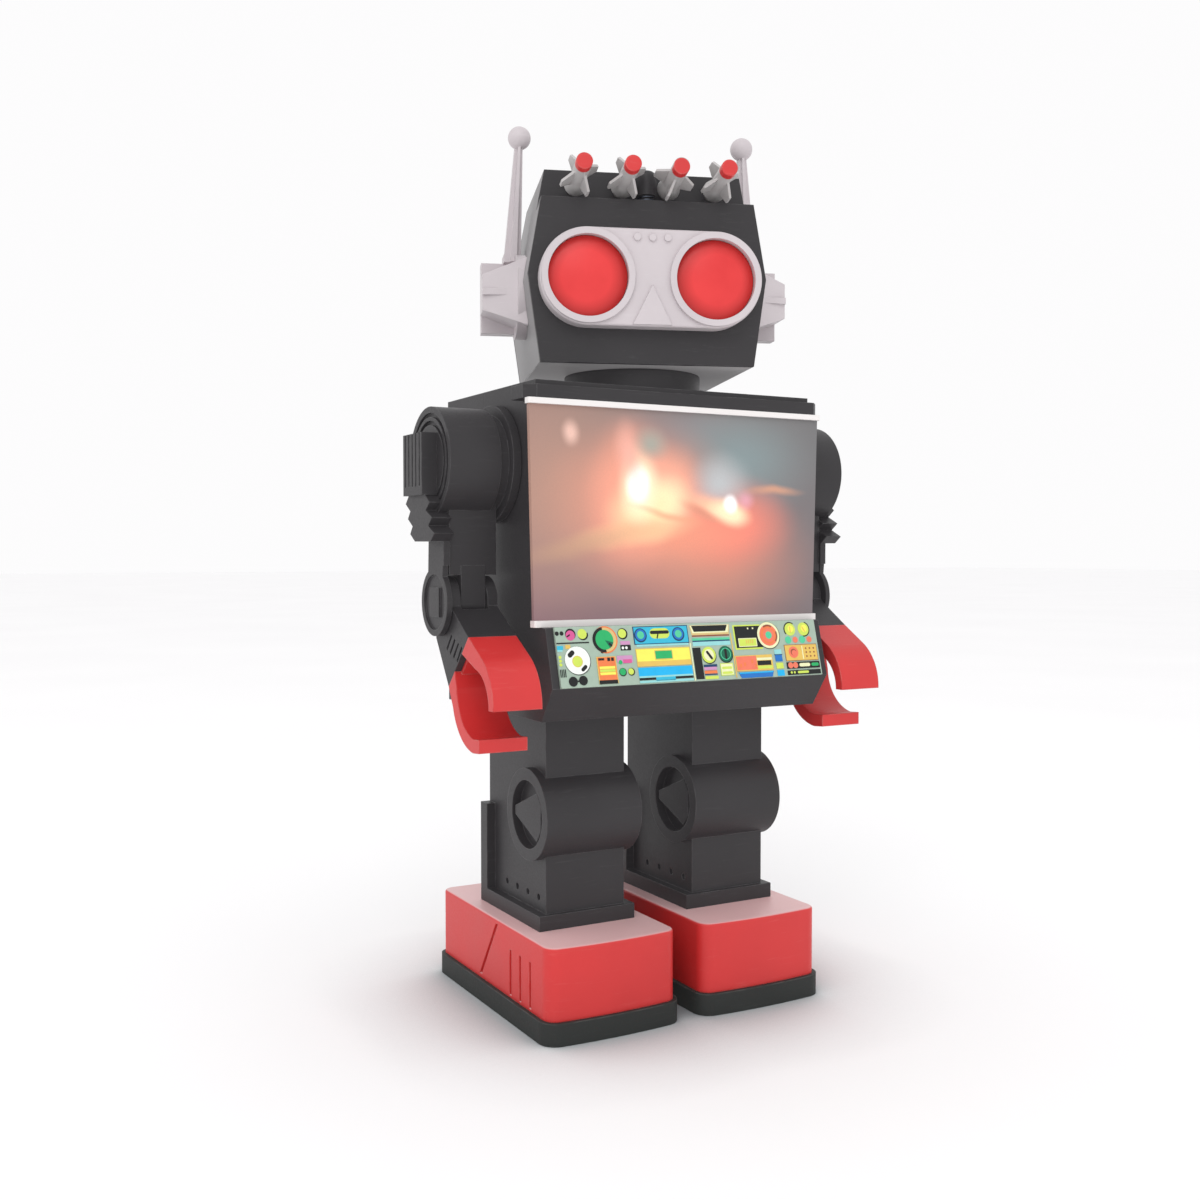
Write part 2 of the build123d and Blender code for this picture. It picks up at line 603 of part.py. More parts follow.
def control_panel():
    """Printed plate on the slanting front below the screen."""
    tilt = atan2(PANEL_TOP_Y - PANEL_BOTTOM_Y, PANEL_TOP - PANEL_BOTTOM)
    out_y = -PANEL_THICK * cos(tilt)
    out_z = PANEL_THICK * sin(tilt)
    outline = polygon([(PANEL_TOP_Y, PANEL_TOP), (PANEL_BOTTOM_Y, PANEL_BOTTOM),
                       (PANEL_BOTTOM_Y + out_y, PANEL_BOTTOM + out_z),
                       (PANEL_TOP_Y + out_y, PANEL_TOP + out_z)])
    return along_x(outline, (-PANEL_HALF, PANEL_HALF))


def neck_collar():
    bore = NECK_TUBE - NECK_TUBE_WALL
    tube_top = HEAD_BOTTOM + WALL + GAP + RETAINER_THICK + 2
    solid = rod_z(NECK_RADIUS, 0, 0, (TORSO_TOP, NECK_TOP))
    solid = fillet(solid.edges().sort_by(Axis.Z)[-1], 0.8)
    solid += rod_z(NECK_TUBE, 0, 0, (NECK_TOP, tube_top))
    return solid - rod_z(bore, 0, 0, (TORSO_TOP - 1, tube_top + 1))


def neck_retainer():
    """Washer pressed on the neck's tube inside the head."""
    low = HEAD_BOTTOM + WALL + GAP
    high = low + RETAINER_THICK
    return (rod_z(NECK_TUBE + 5, 0, 0, (low, high))
            - rod_z(NECK_TUBE + SEAT / 2, 0, 0, (low - 1, high + 1)))


def case_screws():
    solids = []
    head_y = (TORSO_BACK - SCREW_SINK, TORSO_BACK)
    recess_y = (TORSO_BACK - SCREW_SINK / 2, TORSO_BACK + 1)
    arm, half = 0.6 * SCREW_HEAD, 0.35
    for x, z in case_screw_places():
        screw = rod_y(SCREW_HEAD, x, head_y, z)
        screw += rod_y(SCREW_SHANK, x, (TORSO_SEAM - SCREW_REACH, head_y[0]), z)
        cross = block((x - arm, x + arm), recess_y, (z - half, z + half))
        cross += block((x - half, x + half), recess_y, (z - arm, z + arm))
        solids.append(screw - cross)
    return together(solids)


# ---------- movement ----------

def frame_plates():
    height = (ARBOR_Z - FRAME_HALF_HEIGHT, ARBOR_Z + FRAME_HALF_HEIGHT)
    plates = []
    for y in (FRONT_PLATE_Y, REAR_PLATE_Y):
        plate = block((-FRAME_HALF, FRAME_HALF), (y, y + PLATE), height)
        plate -= rod_y(ARBOR_RADIUS + RUN, 0, (y - 1, y + PLATE + 1), ARBOR_Z)
        plates.append(plate)
    cheek_y = (governor_y - CHEEK_MARGIN, FRONT_PLATE_Y)
    cheek_z = (governor_z - CHEEK_MARGIN, crank_z + CHEEK_ABOVE)
    across = (-TORSO_HALF, TORSO_HALF)
    for side in (-1, 1):
        cheek = block(sorted((side * CHEEK_X, side * (CHEEK_X + PLATE))), cheek_y, cheek_z)
        cheek -= rod_x(CRANK_RADIUS + RUN, across, crank_y, crank_z)
        cheek -= rod_x(GOVERNOR_RADIUS + RUN, across, governor_y, governor_z)
        plates[0] += cheek
    rear = plates[1]
    through = (REAR_PLATE_Y - 1, REAR_PLATE_Y + PLATE + 1)
    for x, z in pillar_places():
        rear -= rod_y(PILLAR_RADIUS + SEAT / 2, x, through, z)
    return together([plates[0], rear])


def pillar_places():
    x = FRAME_HALF - PILLAR_INSET
    z = FRAME_HALF_HEIGHT - PILLAR_INSET
    return [(sx * x, ARBOR_Z + sz * z) for sx in (-1, 1) for sz in (-1, 1)]


def frame_pillars():
    span = (FRONT_PLATE_Y + PLATE, TORSO_BACK - WALL)
    return together([rod_y(PILLAR_RADIUS, x, span, z) for x, z in pillar_places()])


def mainspring():
    """Flat strip wound in half turns, each a little larger than the last."""
    start = FRONT_PLATE_Y + PLATE + SPRING_GAP
    span = (start, start + SPRING_WIDTH)
    through = (span[0] - 1, span[1] + 1)
    step = SPRING_PITCH / 4
    inner = ARBOR_RADIUS + 3 * SPRING_STRIP
    solid = None
    number = 0
    while inner + SPRING_STRIP < SPRING_OUTER:
        side = 1 if number % 2 == 0 else -1
        centre = side * step
        ring = rod_y(inner + SPRING_STRIP, centre, span, ARBOR_Z)
        ring -= rod_y(inner, centre, through, ARBOR_Z)
        limits = sorted((ARBOR_Z, ARBOR_Z + side * 2 * SPRING_OUTER))
        half = ring & block((-2 * SPRING_OUTER, 2 * SPRING_OUTER), through, limits)
        solid = half if solid is None else solid + half
        inner += 2 * step
        number += 1
    return solid


def guide_rods():
    span = (GUIDE_FRONT, GUIDE_BACK)
    return together([rod_y(GUIDE_RADIUS, s * hanger_middle, span, GUIDE_Z) for s in (-1, 1)])


def key_arbor():
    return rod_y(ARBOR_RADIUS, 0, (crown_face - 1, KEY_START + KEY_LENGTH), ARBOR_Z)


def winding_key():
    """Butterfly key: a hub with two pierced wings in one plane."""
    hub_y = (KEY_START, KEY_START + KEY_LENGTH)
    solid = rod_y(KEY_HUB, 0, hub_y, ARBOR_Z)
    wing_x = KEY_HALF_SPAN - KEY_HALF_HEIGHT
    middle_y = hub_y[1] - KEY_HALF_HEIGHT + 2
    wing_z = (ARBOR_Z - KEY_HALF_THICK, ARBOR_Z + KEY_HALF_THICK)
    hole_z = (wing_z[0] - 1, wing_z[1] + 1)
    for side in (-1, 1):
        wing = rod_z(KEY_HALF_HEIGHT, side * wing_x, middle_y, wing_z)
        wing -= rod_z(KEY_HALF_HEIGHT - KEY_RIM, side * (wing_x + 1), middle_y, hole_z)
        solid += wing
    return solid - rod_y(ARBOR_RADIUS + SEAT / 2, 0, (KEY_START - 1, hub_y[1] + 1), ARBOR_Z)


def crown_wheel():
    """Contrate wheel: teeth stand forward from the rim of a flat disc."""
    pitch_angle = 360 / CROWN_TEETH
    pitch = CROWN_MODULE * pi
    tip_y = crown_pitch_y - CROWN_MODULE * TOOTH_ABOVE
    root_y = crown_face + 0.5
    solid = rod_y(crown_radius + CROWN_TOOTH_HALF + 0.3, 0, (crown_face, CROWN_BACK), ARBOR_Z)
    tooth_face = polygon([(root_y, -pitch / 4), (root_y, pitch / 4),
                          (tip_y, pitch / 10), (tip_y, -pitch / 10)])
    tooth = along_x(tooth_face, (crown_radius - CROWN_TOOTH_HALF, crown_radius + CROWN_TOOTH_HALF))
    for number in range(CROWN_TEETH):
        solid += Pos(0, 0, ARBOR_Z) * Rot(0, number * pitch_angle, 0) * tooth
    through = (crown_face - 1, CROWN_BACK + 1)
    for number in range(CROWN_HOLES):
        hole = rod_y(CROWN_HOLE_RADIUS, 0.6 * crown_radius, through, 0)
        solid -= Pos(0, 0, ARBOR_Z) * Rot(0, number * 360 / CROWN_HOLES, 0) * hole
    return solid - rod_y(ARBOR_RADIUS + RUN, 0, through, ARBOR_Z)


def crank_tooth():
    """Angle of the crank gear's tooth that points at the drum's axis."""
    return atan2(drum_z - crank_z, DRUM_Y - crank_y)


def gear_span():
    return (GEAR_X - GEAR_WIDTH / 2, GEAR_X + GEAR_WIDTH / 2)


def crank_shaft():
    centre = (crank_y, crank_z)
    solid = rod_x(CRANK_RADIUS, (-crank_disc_x, crank_disc_x), *centre)
    pinion = gear_face(PINION_TEETH, CROWN_MODULE, centre, pi / PINION_TEETH)
    solid += along_x(pinion, (crown_radius - 2, crown_radius + 2))
    gear = gear_face(CRANK_GEAR_TEETH, DRUM_MODULE, centre, crank_tooth())
    return solid + along_x(gear, gear_span())


def crank_discs():
    outer = crank_disc_x + CRANK_DISC
    discs = []
    for side in (-1, 1):
        disc_x = sorted((side * crank_disc_x, side * outer))
        pin_x = sorted((side * outer, side * (HANGER_OUTER + 2)))
        disc = rod_x(CRANK_THROW + CRANK_PIN + 1, disc_x, crank_y, crank_z)
        disc += rod_x(CRANK_PIN, pin_x, crank_y, crank_z + side * CRANK_THROW)
        discs.append(disc)
    return together(discs)


def picture_drum():
    """Translucent drum behind the screen, with its gear and trunnions."""
    centre = (DRUM_Y, drum_z)
    solid = rod_x(DRUM_RADIUS, (-DRUM_HALF, DRUM_HALF), *centre)
    tooth_at = meshed_tooth(crank_tooth(), CRANK_GEAR_TEETH, DRUM_GEAR_TEETH, crank_tooth())
    gear = gear_face(DRUM_GEAR_TEETH, DRUM_MODULE, centre, tooth_at)
    solid += along_x(gear, gear_span())
    solid -= rod_x(DRUM_RADIUS - PLATE, (-DRUM_HALF + PLATE, DRUM_HALF - PLATE), *centre)
    for side in (-1, 1):
        ends = sorted((side * (DRUM_HALF - 1), side * (DRUM_HALF + DRUM_TRUNNION_LENGTH)))
        solid += rod_x(DRUM_TRUNNION, ends, *centre)
    return solid


def governor():
    """Two-bladed air brake driven at speed by the crank gear."""
    centre = (governor_y, governor_z)
    direction = atan2(governor_z - crank_z, governor_y - crank_y)
    tooth_at = meshed_tooth(crank_tooth(), CRANK_GEAR_TEETH, GOVERNOR_TEETH, direction)
    solid = rod_x(GOVERNOR_RADIUS, (-CHEEK_X - PLATE, CHEEK_X + PLATE), *centre)
    pinion = gear_face(GOVERNOR_TEETH, DRUM_MODULE, centre, tooth_at)
    solid += along_x(pinion, gear_span())
    blade_y = (governor_y - BRAKE_HALF_WIDTH, governor_y + BRAKE_HALF_WIDTH)
    return solid + block(BRAKE_X, blade_y,
                         (governor_z - BRAKE_HALF_THICK, governor_z + BRAKE_HALF_THICK))


def stop_lever():
    """Pad inside the case, neck through the slot and a rounded knob outside."""
    inside = TORSO_BACK - WALL - GAP
    pad = LEVER_TRAVEL + 1
    neck_x = (LEVER_X - LEVER_NECK, LEVER_X + LEVER_NECK)
    solid = block((LEVER_X - pad, LEVER_X + pad), (inside - LEVER_PAD, inside),
                  (LEVER_Z - 2 * LEVER_NECK, LEVER_Z + 2 * LEVER_NECK))
    solid += block(neck_x, (inside, TORSO_BACK + 2), (LEVER_Z - LEVER_NECK, LEVER_Z + LEVER_NECK))
    knob = block((LEVER_X - LEVER_KNOB, LEVER_X + LEVER_KNOB), (TORSO_BACK + GAP, TORSO_BACK + 5),
                 (LEVER_Z - LEVER_KNOB - 0.5, LEVER_Z + LEVER_KNOB + 0.5))
    return solid + fillet(knob.edges().filter_by(Axis.Y), 1.5)


# ---------- head (made facing straight ahead, turned when it is placed) ----------

def head_face_outline():
    half = [(HEAD_HALF_BOTTOM, HEAD_BOTTOM), (HEAD_HALF_WIDEST, HEAD_WIDEST),
            (HEAD_HALF_SHELF, SHELF_Z), (HEAD_HALF_TOP, HEAD_TOP)]
    return polygon(half + [(-x, z) for x, z in reversed(half)])


def head_block(y):
    return along_y(head_face_outline(), y)


def missile_frame(index, from_tail):
    """Point on a missile's axis, at a distance forward of its tail rim."""
    rise = radians(MISSILE_RISE)
    x = (index - 1.5) * MISSILE_SPACING
    return (x, MISSILE_TAIL_Y - from_tail * cos(rise), MISSILE_TAIL_Z + from_tail * sin(rise))


def missile_place(index):
    """Placing whose +Z runs along the missile, from the tail rim to the tip."""
    return Pos(*missile_frame(index, 0)) * Rot(90 - MISSILE_RISE, 0, 0)


def missile_bore(index, radius, start, end):
    return missile_place(index) * Pos(0, 0, (start + end) / 2) * Cylinder(radius, end - start)


def head_front():
    """Front plate, the shelf above it and the wall that the missiles stand out of."""
    wide = 2 * HEAD_HALF_WIDEST
    plate = block((-wide, wide), (HEAD_FRONT, HEAD_FRONT + WALL), (0, SHELF_Z))
    shelf = block((-wide, wide), (HEAD_FRONT, SHELF_BACK + WALL), (SHELF_Z - WALL, SHELF_Z))
    wall = block((-wide, wide), (SHELF_BACK, SHELF_BACK + WALL), (SHELF_Z - WALL, HEAD_TOP))
    solid = head_block((HEAD_FRONT, SHELF_BACK + WALL)) & (plate + shelf + wall)
    wall_from_tail = MISSILE_TAIL_Y - SHELF_BACK
    for index in range(4):
        solid -= missile_bore(index, MISSILE_STEM + GAP, wall_from_tail - 4, wall_from_tail + 2)
    return solid - rod_z(BUTTON_STEM + RUN, 0, BUTTON_Y, (SHELF_Z - WALL - 1, SHELF_Z + 1))


def head_wrap():
    """Sides, underside and top of the head, between the front and back plates."""
    span = (HEAD_FRONT + WALL, HEAD_BACK - WALL)
    solid = head_block(span)
    solid -= along_y(inset(head_face_outline(), WALL), (span[0] - 1, span[1] + 1))
    solid -= block((-100, 100), (span[0] - 1, SHELF_BACK + WALL), (SHELF_Z - WALL, HEAD_TOP + 1))
    return solid - rod_z(NECK_TUBE + RUN, 0, 0, (HEAD_BOTTOM - 1, HEAD_BOTTOM + WALL + 1))


def head_back():
    solid = head_block((HEAD_BACK - WALL, HEAD_BACK))
    hole_x = HEAD_HALF_TOP - HEAD_SCREW_INSET
    for side in (-1, 1):
        for z in (HEAD_BOTTOM + HEAD_SCREW_INSET, HEAD_TOP - HEAD_SCREW_INSET):
            solid -= rod_y(HEAD_SCREW_DIMPLE, side * hole_x, (HEAD_BACK - WALL + 0.8, HEAD_BACK + 1), z)
    return solid


def eye_mask():
    front = HEAD_FRONT - MASK_DEPTH
    straight = MASK_HALF_WIDTH - MASK_HALF_HEIGHT
    span = (front, HEAD_FRONT)
    outline = Pos(0, MASK_Z) * SlotCenterToCenter(2 * straight, 2 * MASK_HALF_HEIGHT)
    solid = along_y(outline, span)
    solid = fillet(solid.faces().sort_by(Axis.Y)[0].edges(), MASK_ROUND)
    for side in (-1, 1):
        solid -= rod_y(EYE_RADIUS + SEAT, side * EYE_X, (front - 1, HEAD_FRONT - EYE_FLOOR), MASK_Z)
    raised = (front - NOSE_STAND, front)
    bridge = polygon([(-NOSE_HALF, NOSE_BOTTOM), (NOSE_HALF, NOSE_BOTTOM), (0, NOSE_TOP)])
    solid += along_y(bridge, raised)
    for number in (-1, 0, 1):
        solid += rod_y(RIVET_RADIUS, number * RIVET_PITCH, raised, RIVET_Z)
    return solid


def eye_rings():
    front = HEAD_FRONT - MASK_DEPTH
    ring_y = (front - EYE_RING_STAND, front)
    rings = []
    for side in (-1, 1):
        ring = rod_y(EYE_RING, side * EYE_X, ring_y, MASK_Z)
        rings.append(ring - rod_y(EYE_RADIUS, side * EYE_X, (ring_y[0] - 1, front + 1), MASK_Z))
    return together(rings)


def eye_lenses():
    front = HEAD_FRONT - MASK_DEPTH
    lens_y = (front - LENS_DOME - 1, HEAD_FRONT - EYE_FLOOR)
    bulge_radius = (EYE_RADIUS**2 + LENS_DOME**2) / (2 * LENS_DOME)
    centre_y = front + LENS_SINK - LENS_DOME + bulge_radius
    lenses = []
    for side in (-1, 1):
        lens = rod_y(EYE_RADIUS - SEAT, side * EYE_X, lens_y, MASK_Z)
        lenses.append(lens & Pos(side * EYE_X, centre_y, MASK_Z) * Sphere(bulge_radius))
    return together(lenses)


def ear_pod():
    """Left ear: round flange, an upright slab and a wedge with a raised rib."""
    root = HEAD_HALF_WIDEST
    solid = rod_x(EAR_FLANGE, (root - 4, root + EAR_FLANGE_STAND), 0, EAR_Z)
    solid += block((root - 2, EAR_OUT - 0.4), EAR_SLAB_Y,
                   (EAR_Z - EAR_SLAB_HALF, EAR_Z + EAR_SLAB_HALF))
    base_face = Pos((EAR_FRONT + EAR_SLAB_Y[0]) / 2, EAR_Z) * Rectangle(
        EAR_SLAB_Y[0] - EAR_FRONT, 2 * EAR_SLAB_HALF - 1.4)
    tip_face = Pos(EAR_SLAB_Y[0] - 6, EAR_Z) * Rectangle(12, EAR_SLAB_HALF - 0.2)
    base = Plane.YZ.offset(root - 2) * base_face
    tip = Plane.YZ.offset(EAR_OUT) * tip_face
    solid += loft(Sketch() + [base, tip])
    rib = polygon([(root, EAR_FRONT + 1.5), (EAR_OUT, EAR_FRONT + 3.6),
                   (EAR_OUT, EAR_SLAB_Y[0]), (root, EAR_SLAB_Y[0])])
    solid += along_z(rib, (EAR_Z - EAR_RIB_HALF, EAR_Z + EAR_RIB_HALF))
    return solid - head_block((HEAD_FRONT, HEAD_BACK))


def antenna():
    """Tapered mast with a fin along its front, standing on the ear's slab."""
    foot_z = EAR_Z + EAR_SLAB_HALF
    inner = BALL_X - 0.4
    blade_y = (BALL_Y - 0.9, BALL_Y + 2.6)
    fin_y = (BALL_Y - 2.4, BALL_Y)
    blade = polygon([(inner, foot_z), (inner + MAST_FOOT_WIDTH, foot_z),
                     (BALL_X + 1.6, MAST_TOP + 2), (BALL_X - 1.2, MAST_TOP + 2)])
    fin = polygon([(BALL_X + 1.2, foot_z), (BALL_X + 3.6, foot_z),
                   (BALL_X + 0.7, MAST_TOP), (BALL_X - 0.3, MAST_TOP)])
    solid = along_y(blade, blade_y) + along_y(fin, fin_y)
    solid += block((inner, inner + MAST_FOOT_WIDTH), (blade_y[0], EAR_SLAB_Y[1] - 0.25),
                   (foot_z, foot_z + 3))
    return solid + Pos(BALL_X, BALL_Y, BALL_Z) * Sphere(BALL_RADIUS)


def missile(index):
    """Grey rocket with four swept fins, a red nose and a stem for its tube."""
    half_skirt = SKIRT_LENGTH / 2
    solid = Pos(0, 0, half_skirt) * Cone(MISSILE_SKIRT, MISSILE_RADIUS, SKIRT_LENGTH)
    body_length = MISSILE_LENGTH - SKIRT_LENGTH + 1
    solid += Pos(0, 0, MISSILE_LENGTH - body_length / 2) * Cylinder(MISSILE_RADIUS, body_length)
    stem_length = MISSILE_STEM_LENGTH + 1
    solid += Pos(0, 0, 1 - stem_length / 2) * Cylinder(MISSILE_STEM, stem_length)
    root = MISSILE_RADIUS - 0.6
    fin_face = polygon([(root, 0.67 * SKIRT_LENGTH), (MISSILE_FIN, SKIRT_LENGTH + 0.5),
                        (MISSILE_FIN, SKIRT_LENGTH + 5), (root, SKIRT_LENGTH + 10)])
    fin = extrude(Plane.XZ * fin_face, amount=FIN_HALF_THICK, both=True)
    for number in range(4):
        solid += Rot(0, 0, FIN_ROLLS[index] + 90 * number) * fin
    return missile_place(index) * solid


def launcher_block():
    """Tubes for the missiles' stems and springs, behind the head's upper wall."""
    front = SHELF_BACK + WALL + SEAT
    half = 1.5 * MISSILE_SPACING + MISSILE_STEM + 3.35
    solid = block((-half, half), (front, front - SEAT + LAUNCHER_DEPTH),
                  (SHELF_Z - WALL + 1, HEAD_TOP - WALL - 1))
    for index in range(4):
        solid -= missile_bore(index, MISSILE_STEM + RUN, -MISSILE_STEM_LENGTH - 9, 0)
    return solid


def coil(radius, wire, pitch, height):
    """Helical spring standing on the origin."""
    path = Helix(pitch=pitch, height=height - 2 * wire, radius=radius)
    section = Plane(origin=path @ 0, z_dir=path % 0) * Circle(wire)
    return Pos(0, 0, wire) * sweep(section, path=path)


def missile_springs():
    solids = []
    for index in range(4):
        spring = coil(MISSILE_STEM - 2 * SPRING_COIL, SPRING_COIL, 1.5, 6.5)
        solids.append(missile_place(index) * Pos(0, 0, -MISSILE_STEM_LENGTH - 8) * spring)
    return together(solids)


def launch_button():
    cap_bottom = SHELF_Z + BUTTON_LIFT
    solid = rod_z(BUTTON_RADIUS, 0, BUTTON_Y, (cap_bottom, BUTTON_TOP))
    solid = fillet(solid.edges().sort_by(Axis.Z)[-1], BUTTON_DOME)
    solid += rod_z(BUTTON_STEM, 0, BUTTON_Y, (SHELF_Z - BUTTON_STEM_LENGTH, cap_bottom))
    low = SHELF_Z - WALL - GAP
    return solid + rod_z(BUTTON_STEM + 1.2, 0, BUTTON_Y, (low - 2, low))


def button_spring():
    radius = BUTTON_STEM + 3 * BUTTON_COIL
    return Pos(0, BUTTON_Y, SHELF_Z) * coil(radius, BUTTON_COIL, 1.1, BUTTON_LIFT - 0.1)


# ---------- arms (left side) ----------

def shoulder_axle():
    inside = TORSO_HALF - WALL - GAP
    head_x = (inside - 2, inside)
    solid = rod_x(SHOULDER_AXLE, (head_x[0], TORSO_HALF + AXLE_REACH), SHOULDER_Y, SHOULDER_Z)
    return solid + rod_x(SHOULDER_AXLE + 4, head_x, SHOULDER_Y, SHOULDER_Z)


def upper_arm():
    """Shoulder drum, its flange and the arm down to the elbow's tongue."""
    centre = (SHOULDER_Y, SHOULDER_Z)
    flange_x = (TORSO_HALF + GAP, TORSO_HALF + 3.5)
    neck_end = ARM_INNER + 2.9
    solid = rod_x(SHOULDER_FLANGE, flange_x, *centre)
    solid += rod_x(SHOULDER_DRUM - 2, (flange_x[1], neck_end), *centre)
    solid += rod_x(SHOULDER_DRUM, (neck_end - 0.7, SHOULDER_OUT), *centre)
    solid += block((ARM_INNER, ARM_OUTER), (ARM_FRONT, ARM_BACK),
                   (ELBOW_Z + ELBOW_RADIUS + GAP, SHOULDER_Z))
    tongue_x = (arm_middle - TONGUE_HALF, arm_middle + TONGUE_HALF)
    tongue_radius = ELBOW_RADIUS - 1
    solid += block(tongue_x, (ELBOW_Y - tongue_radius, ELBOW_Y + tongue_radius),
                   (ELBOW_Z, ELBOW_Z + ELBOW_DISC + 1))
    solid += rod_x(tongue_radius, tongue_x, ELBOW_Y, ELBOW_Z)
    groove_x = (SHOULDER_OUT - 1.2, SHOULDER_OUT + 1)
    for radius in RING_GROOVES:
        solid -= rod_x(radius, groove_x, *centre) - rod_x(radius - RING_WIDTH, groove_x, *centre)
    solid -= rod_x(SHOULDER_AXLE + SEAT / 2, (TORSO_HALF - 8, TORSO_HALF + AXLE_REACH + 0.2), *centre)
    return solid - rod_x(ELBOW_PIN + SEAT / 2, (ARM_INNER - 1, ARM_OUTER + 1), ELBOW_Y, ELBOW_Z)


def arm_actuator():
    """Ribbed outer box, bellows, push bar and elbow disc with the elbow's pin."""
    box_x = (SHOULDER_OUT, ACTUATOR_OUT)
    top = SHOULDER_Z + ACTUATOR_RISE
    bottom = top - ACTUATOR_HEIGHT
    low = bottom - BELLOWS_TEETH * BELLOWS_PITCH
    solid = block(box_x, (ACTUATOR_FRONT, ACTUATOR_BACK), (bottom, top))
    groove_x = (ACTUATOR_OUT - 0.8, ACTUATOR_OUT + 1)
    groove_pitch = (ACTUATOR_BACK - ACTUATOR_FRONT - 4.4) / 4
    for number in range(5):
        y = ACTUATOR_FRONT + 2.2 + groove_pitch * number
        solid -= block(groove_x, (y - 0.5, y + 0.5), (bottom + 3, top + 1))
    back = [(ACTUATOR_BACK - 1, bottom)]
    front = [(ACTUATOR_FRONT + 1, bottom)]
    for number in range(BELLOWS_TEETH):
        lean = 2.2 * number
        middle = bottom - BELLOWS_PITCH * (number + 0.5)
        end = bottom - BELLOWS_PITCH * (number + 1)
        back += [(ACTUATOR_BACK + 2 - lean, middle), (ACTUATOR_BACK - 2.6 - lean, end)]
        front += [(ACTUATOR_FRONT - 3 - lean, middle), (ACTUATOR_FRONT + 0.6 - lean, end)]
    outline = polygon(back + list(reversed(front)))
    solid += along_x(outline, (ARM_OUTER, ACTUATOR_OUT - 1.6))
    disc_x = (ARM_OUTER + GAP, ELBOW_DISC_OUT)
    bar_y = (ELBOW_Y - 9, ELBOW_Y + 5)
    bar_top = low + 0.5
    bar = polygon([(bar_y[0], bar_top), (bar_y[1], bar_top),
                   (bar_y[1] + 1, ELBOW_Z), (bar_y[0] + 2, ELBOW_Z)])
    solid += along_x(bar, disc_x)
    solid += block((ARM_OUTER, ELBOW_DISC_OUT), bar_y, (ELBOW_Z + ELBOW_DISC + 1, bar_top))
    solid += rod_x(ELBOW_DISC, disc_x, ELBOW_Y, ELBOW_Z)
    solid -= rod_x(ELBOW_DISC - 2.2, (ELBOW_DISC_OUT - 0.8, ACTUATOR_OUT + 4), ELBOW_Y, ELBOW_Z)
    solid += block(disc_x, (ELBOW_Y - 4.3, ELBOW_Y + 4.3), (ELBOW_Z - 5.2, ELBOW_Z + 5.2))
    return solid + rod_x(ELBOW_PIN, (ARM_INNER, disc_x[1]), ELBOW_Y, ELBOW_Z)


def near_elbow(y, z):
    """A point given from the elbow's axis."""
    return (ELBOW_Y + y, ELBOW_Z + z)


def wrist_frame():
    """Wrist corners (y, z): the upper front one and the lower back one."""
    return near_elbow(-24.6, -11.1), near_elbow(-7.1, -29.3)


def wrist_rectangle(half, depth, reach):
    """Face across the wrist, from a depth inside the forearm to a reach outside it."""
    upper, lower = wrist_frame()
    middle = ((upper[0] + lower[0]) / 2, (upper[1] + lower[1]) / 2)
    length = hypot(lower[0] - upper[0], lower[1] - upper[1])
    across = ((lower[0] - upper[0]) / length, (lower[1] - upper[1]) / length)
    outward = (across[1], -across[0])
    corners = [(half, -depth), (half, reach), (-half, reach), (-half, -depth)]
    return polygon([(middle[0] + a * across[0] + b * outward[0],
                     middle[1] + a * across[1] + b * outward[1]) for a, b in corners])


def forearm():
    upper, lower = wrist_frame()
    beam = polygon([near_elbow(-10.2, -2.1), upper, lower, near_elbow(4.4, -12.8),
                    near_elbow(3, 0), near_elbow(-3, 4)])
    span = (ARM_INNER, ARM_OUTER)
    solid = along_x(beam, span) + rod_x(ELBOW_RADIUS, span, ELBOW_Y, ELBOW_Z)
    fork = (arm_middle - TONGUE_HALF - GAP, arm_middle + TONGUE_HALF + GAP)
    solid -= rod_x(ELBOW_RADIUS + 1.5, fork, ELBOW_Y, ELBOW_Z)
    solid -= block(fork, (ELBOW_Y - 14, ELBOW_Y + 12), (ELBOW_Z, ELBOW_Z + 20))
    solid -= rod_x(ELBOW_PIN + RUN, (ARM_INNER - 1, ARM_OUTER + 1), ELBOW_Y, ELBOW_Z)
    socket = wrist_rectangle(CLAW_TONGUE + SEAT, CLAW_PLUG + SEAT, 5)
    solid -= along_x(socket, (span[0] + CLAW_WALL, span[1] - CLAW_WALL))
    for number in range(4):
        middle = near_elbow(-7.8 - 3.0 * number, -13.9 - 1.2 * number)
        slot = Pos(*middle) * Rot(0, 0, -50) * Rectangle(7.0, 1.2)
        solid -= along_x(slot, (ARM_OUTER - 0.9, ARM_OUTER + 1))
    return solid


def arc_from_elbow(start, middle, end):
    return ThreePointArc(near_elbow(*start), near_elbow(*middle), near_elbow(*end))


def line_from_elbow(start, end):
    return Line(near_elbow(*start), near_elbow(*end))


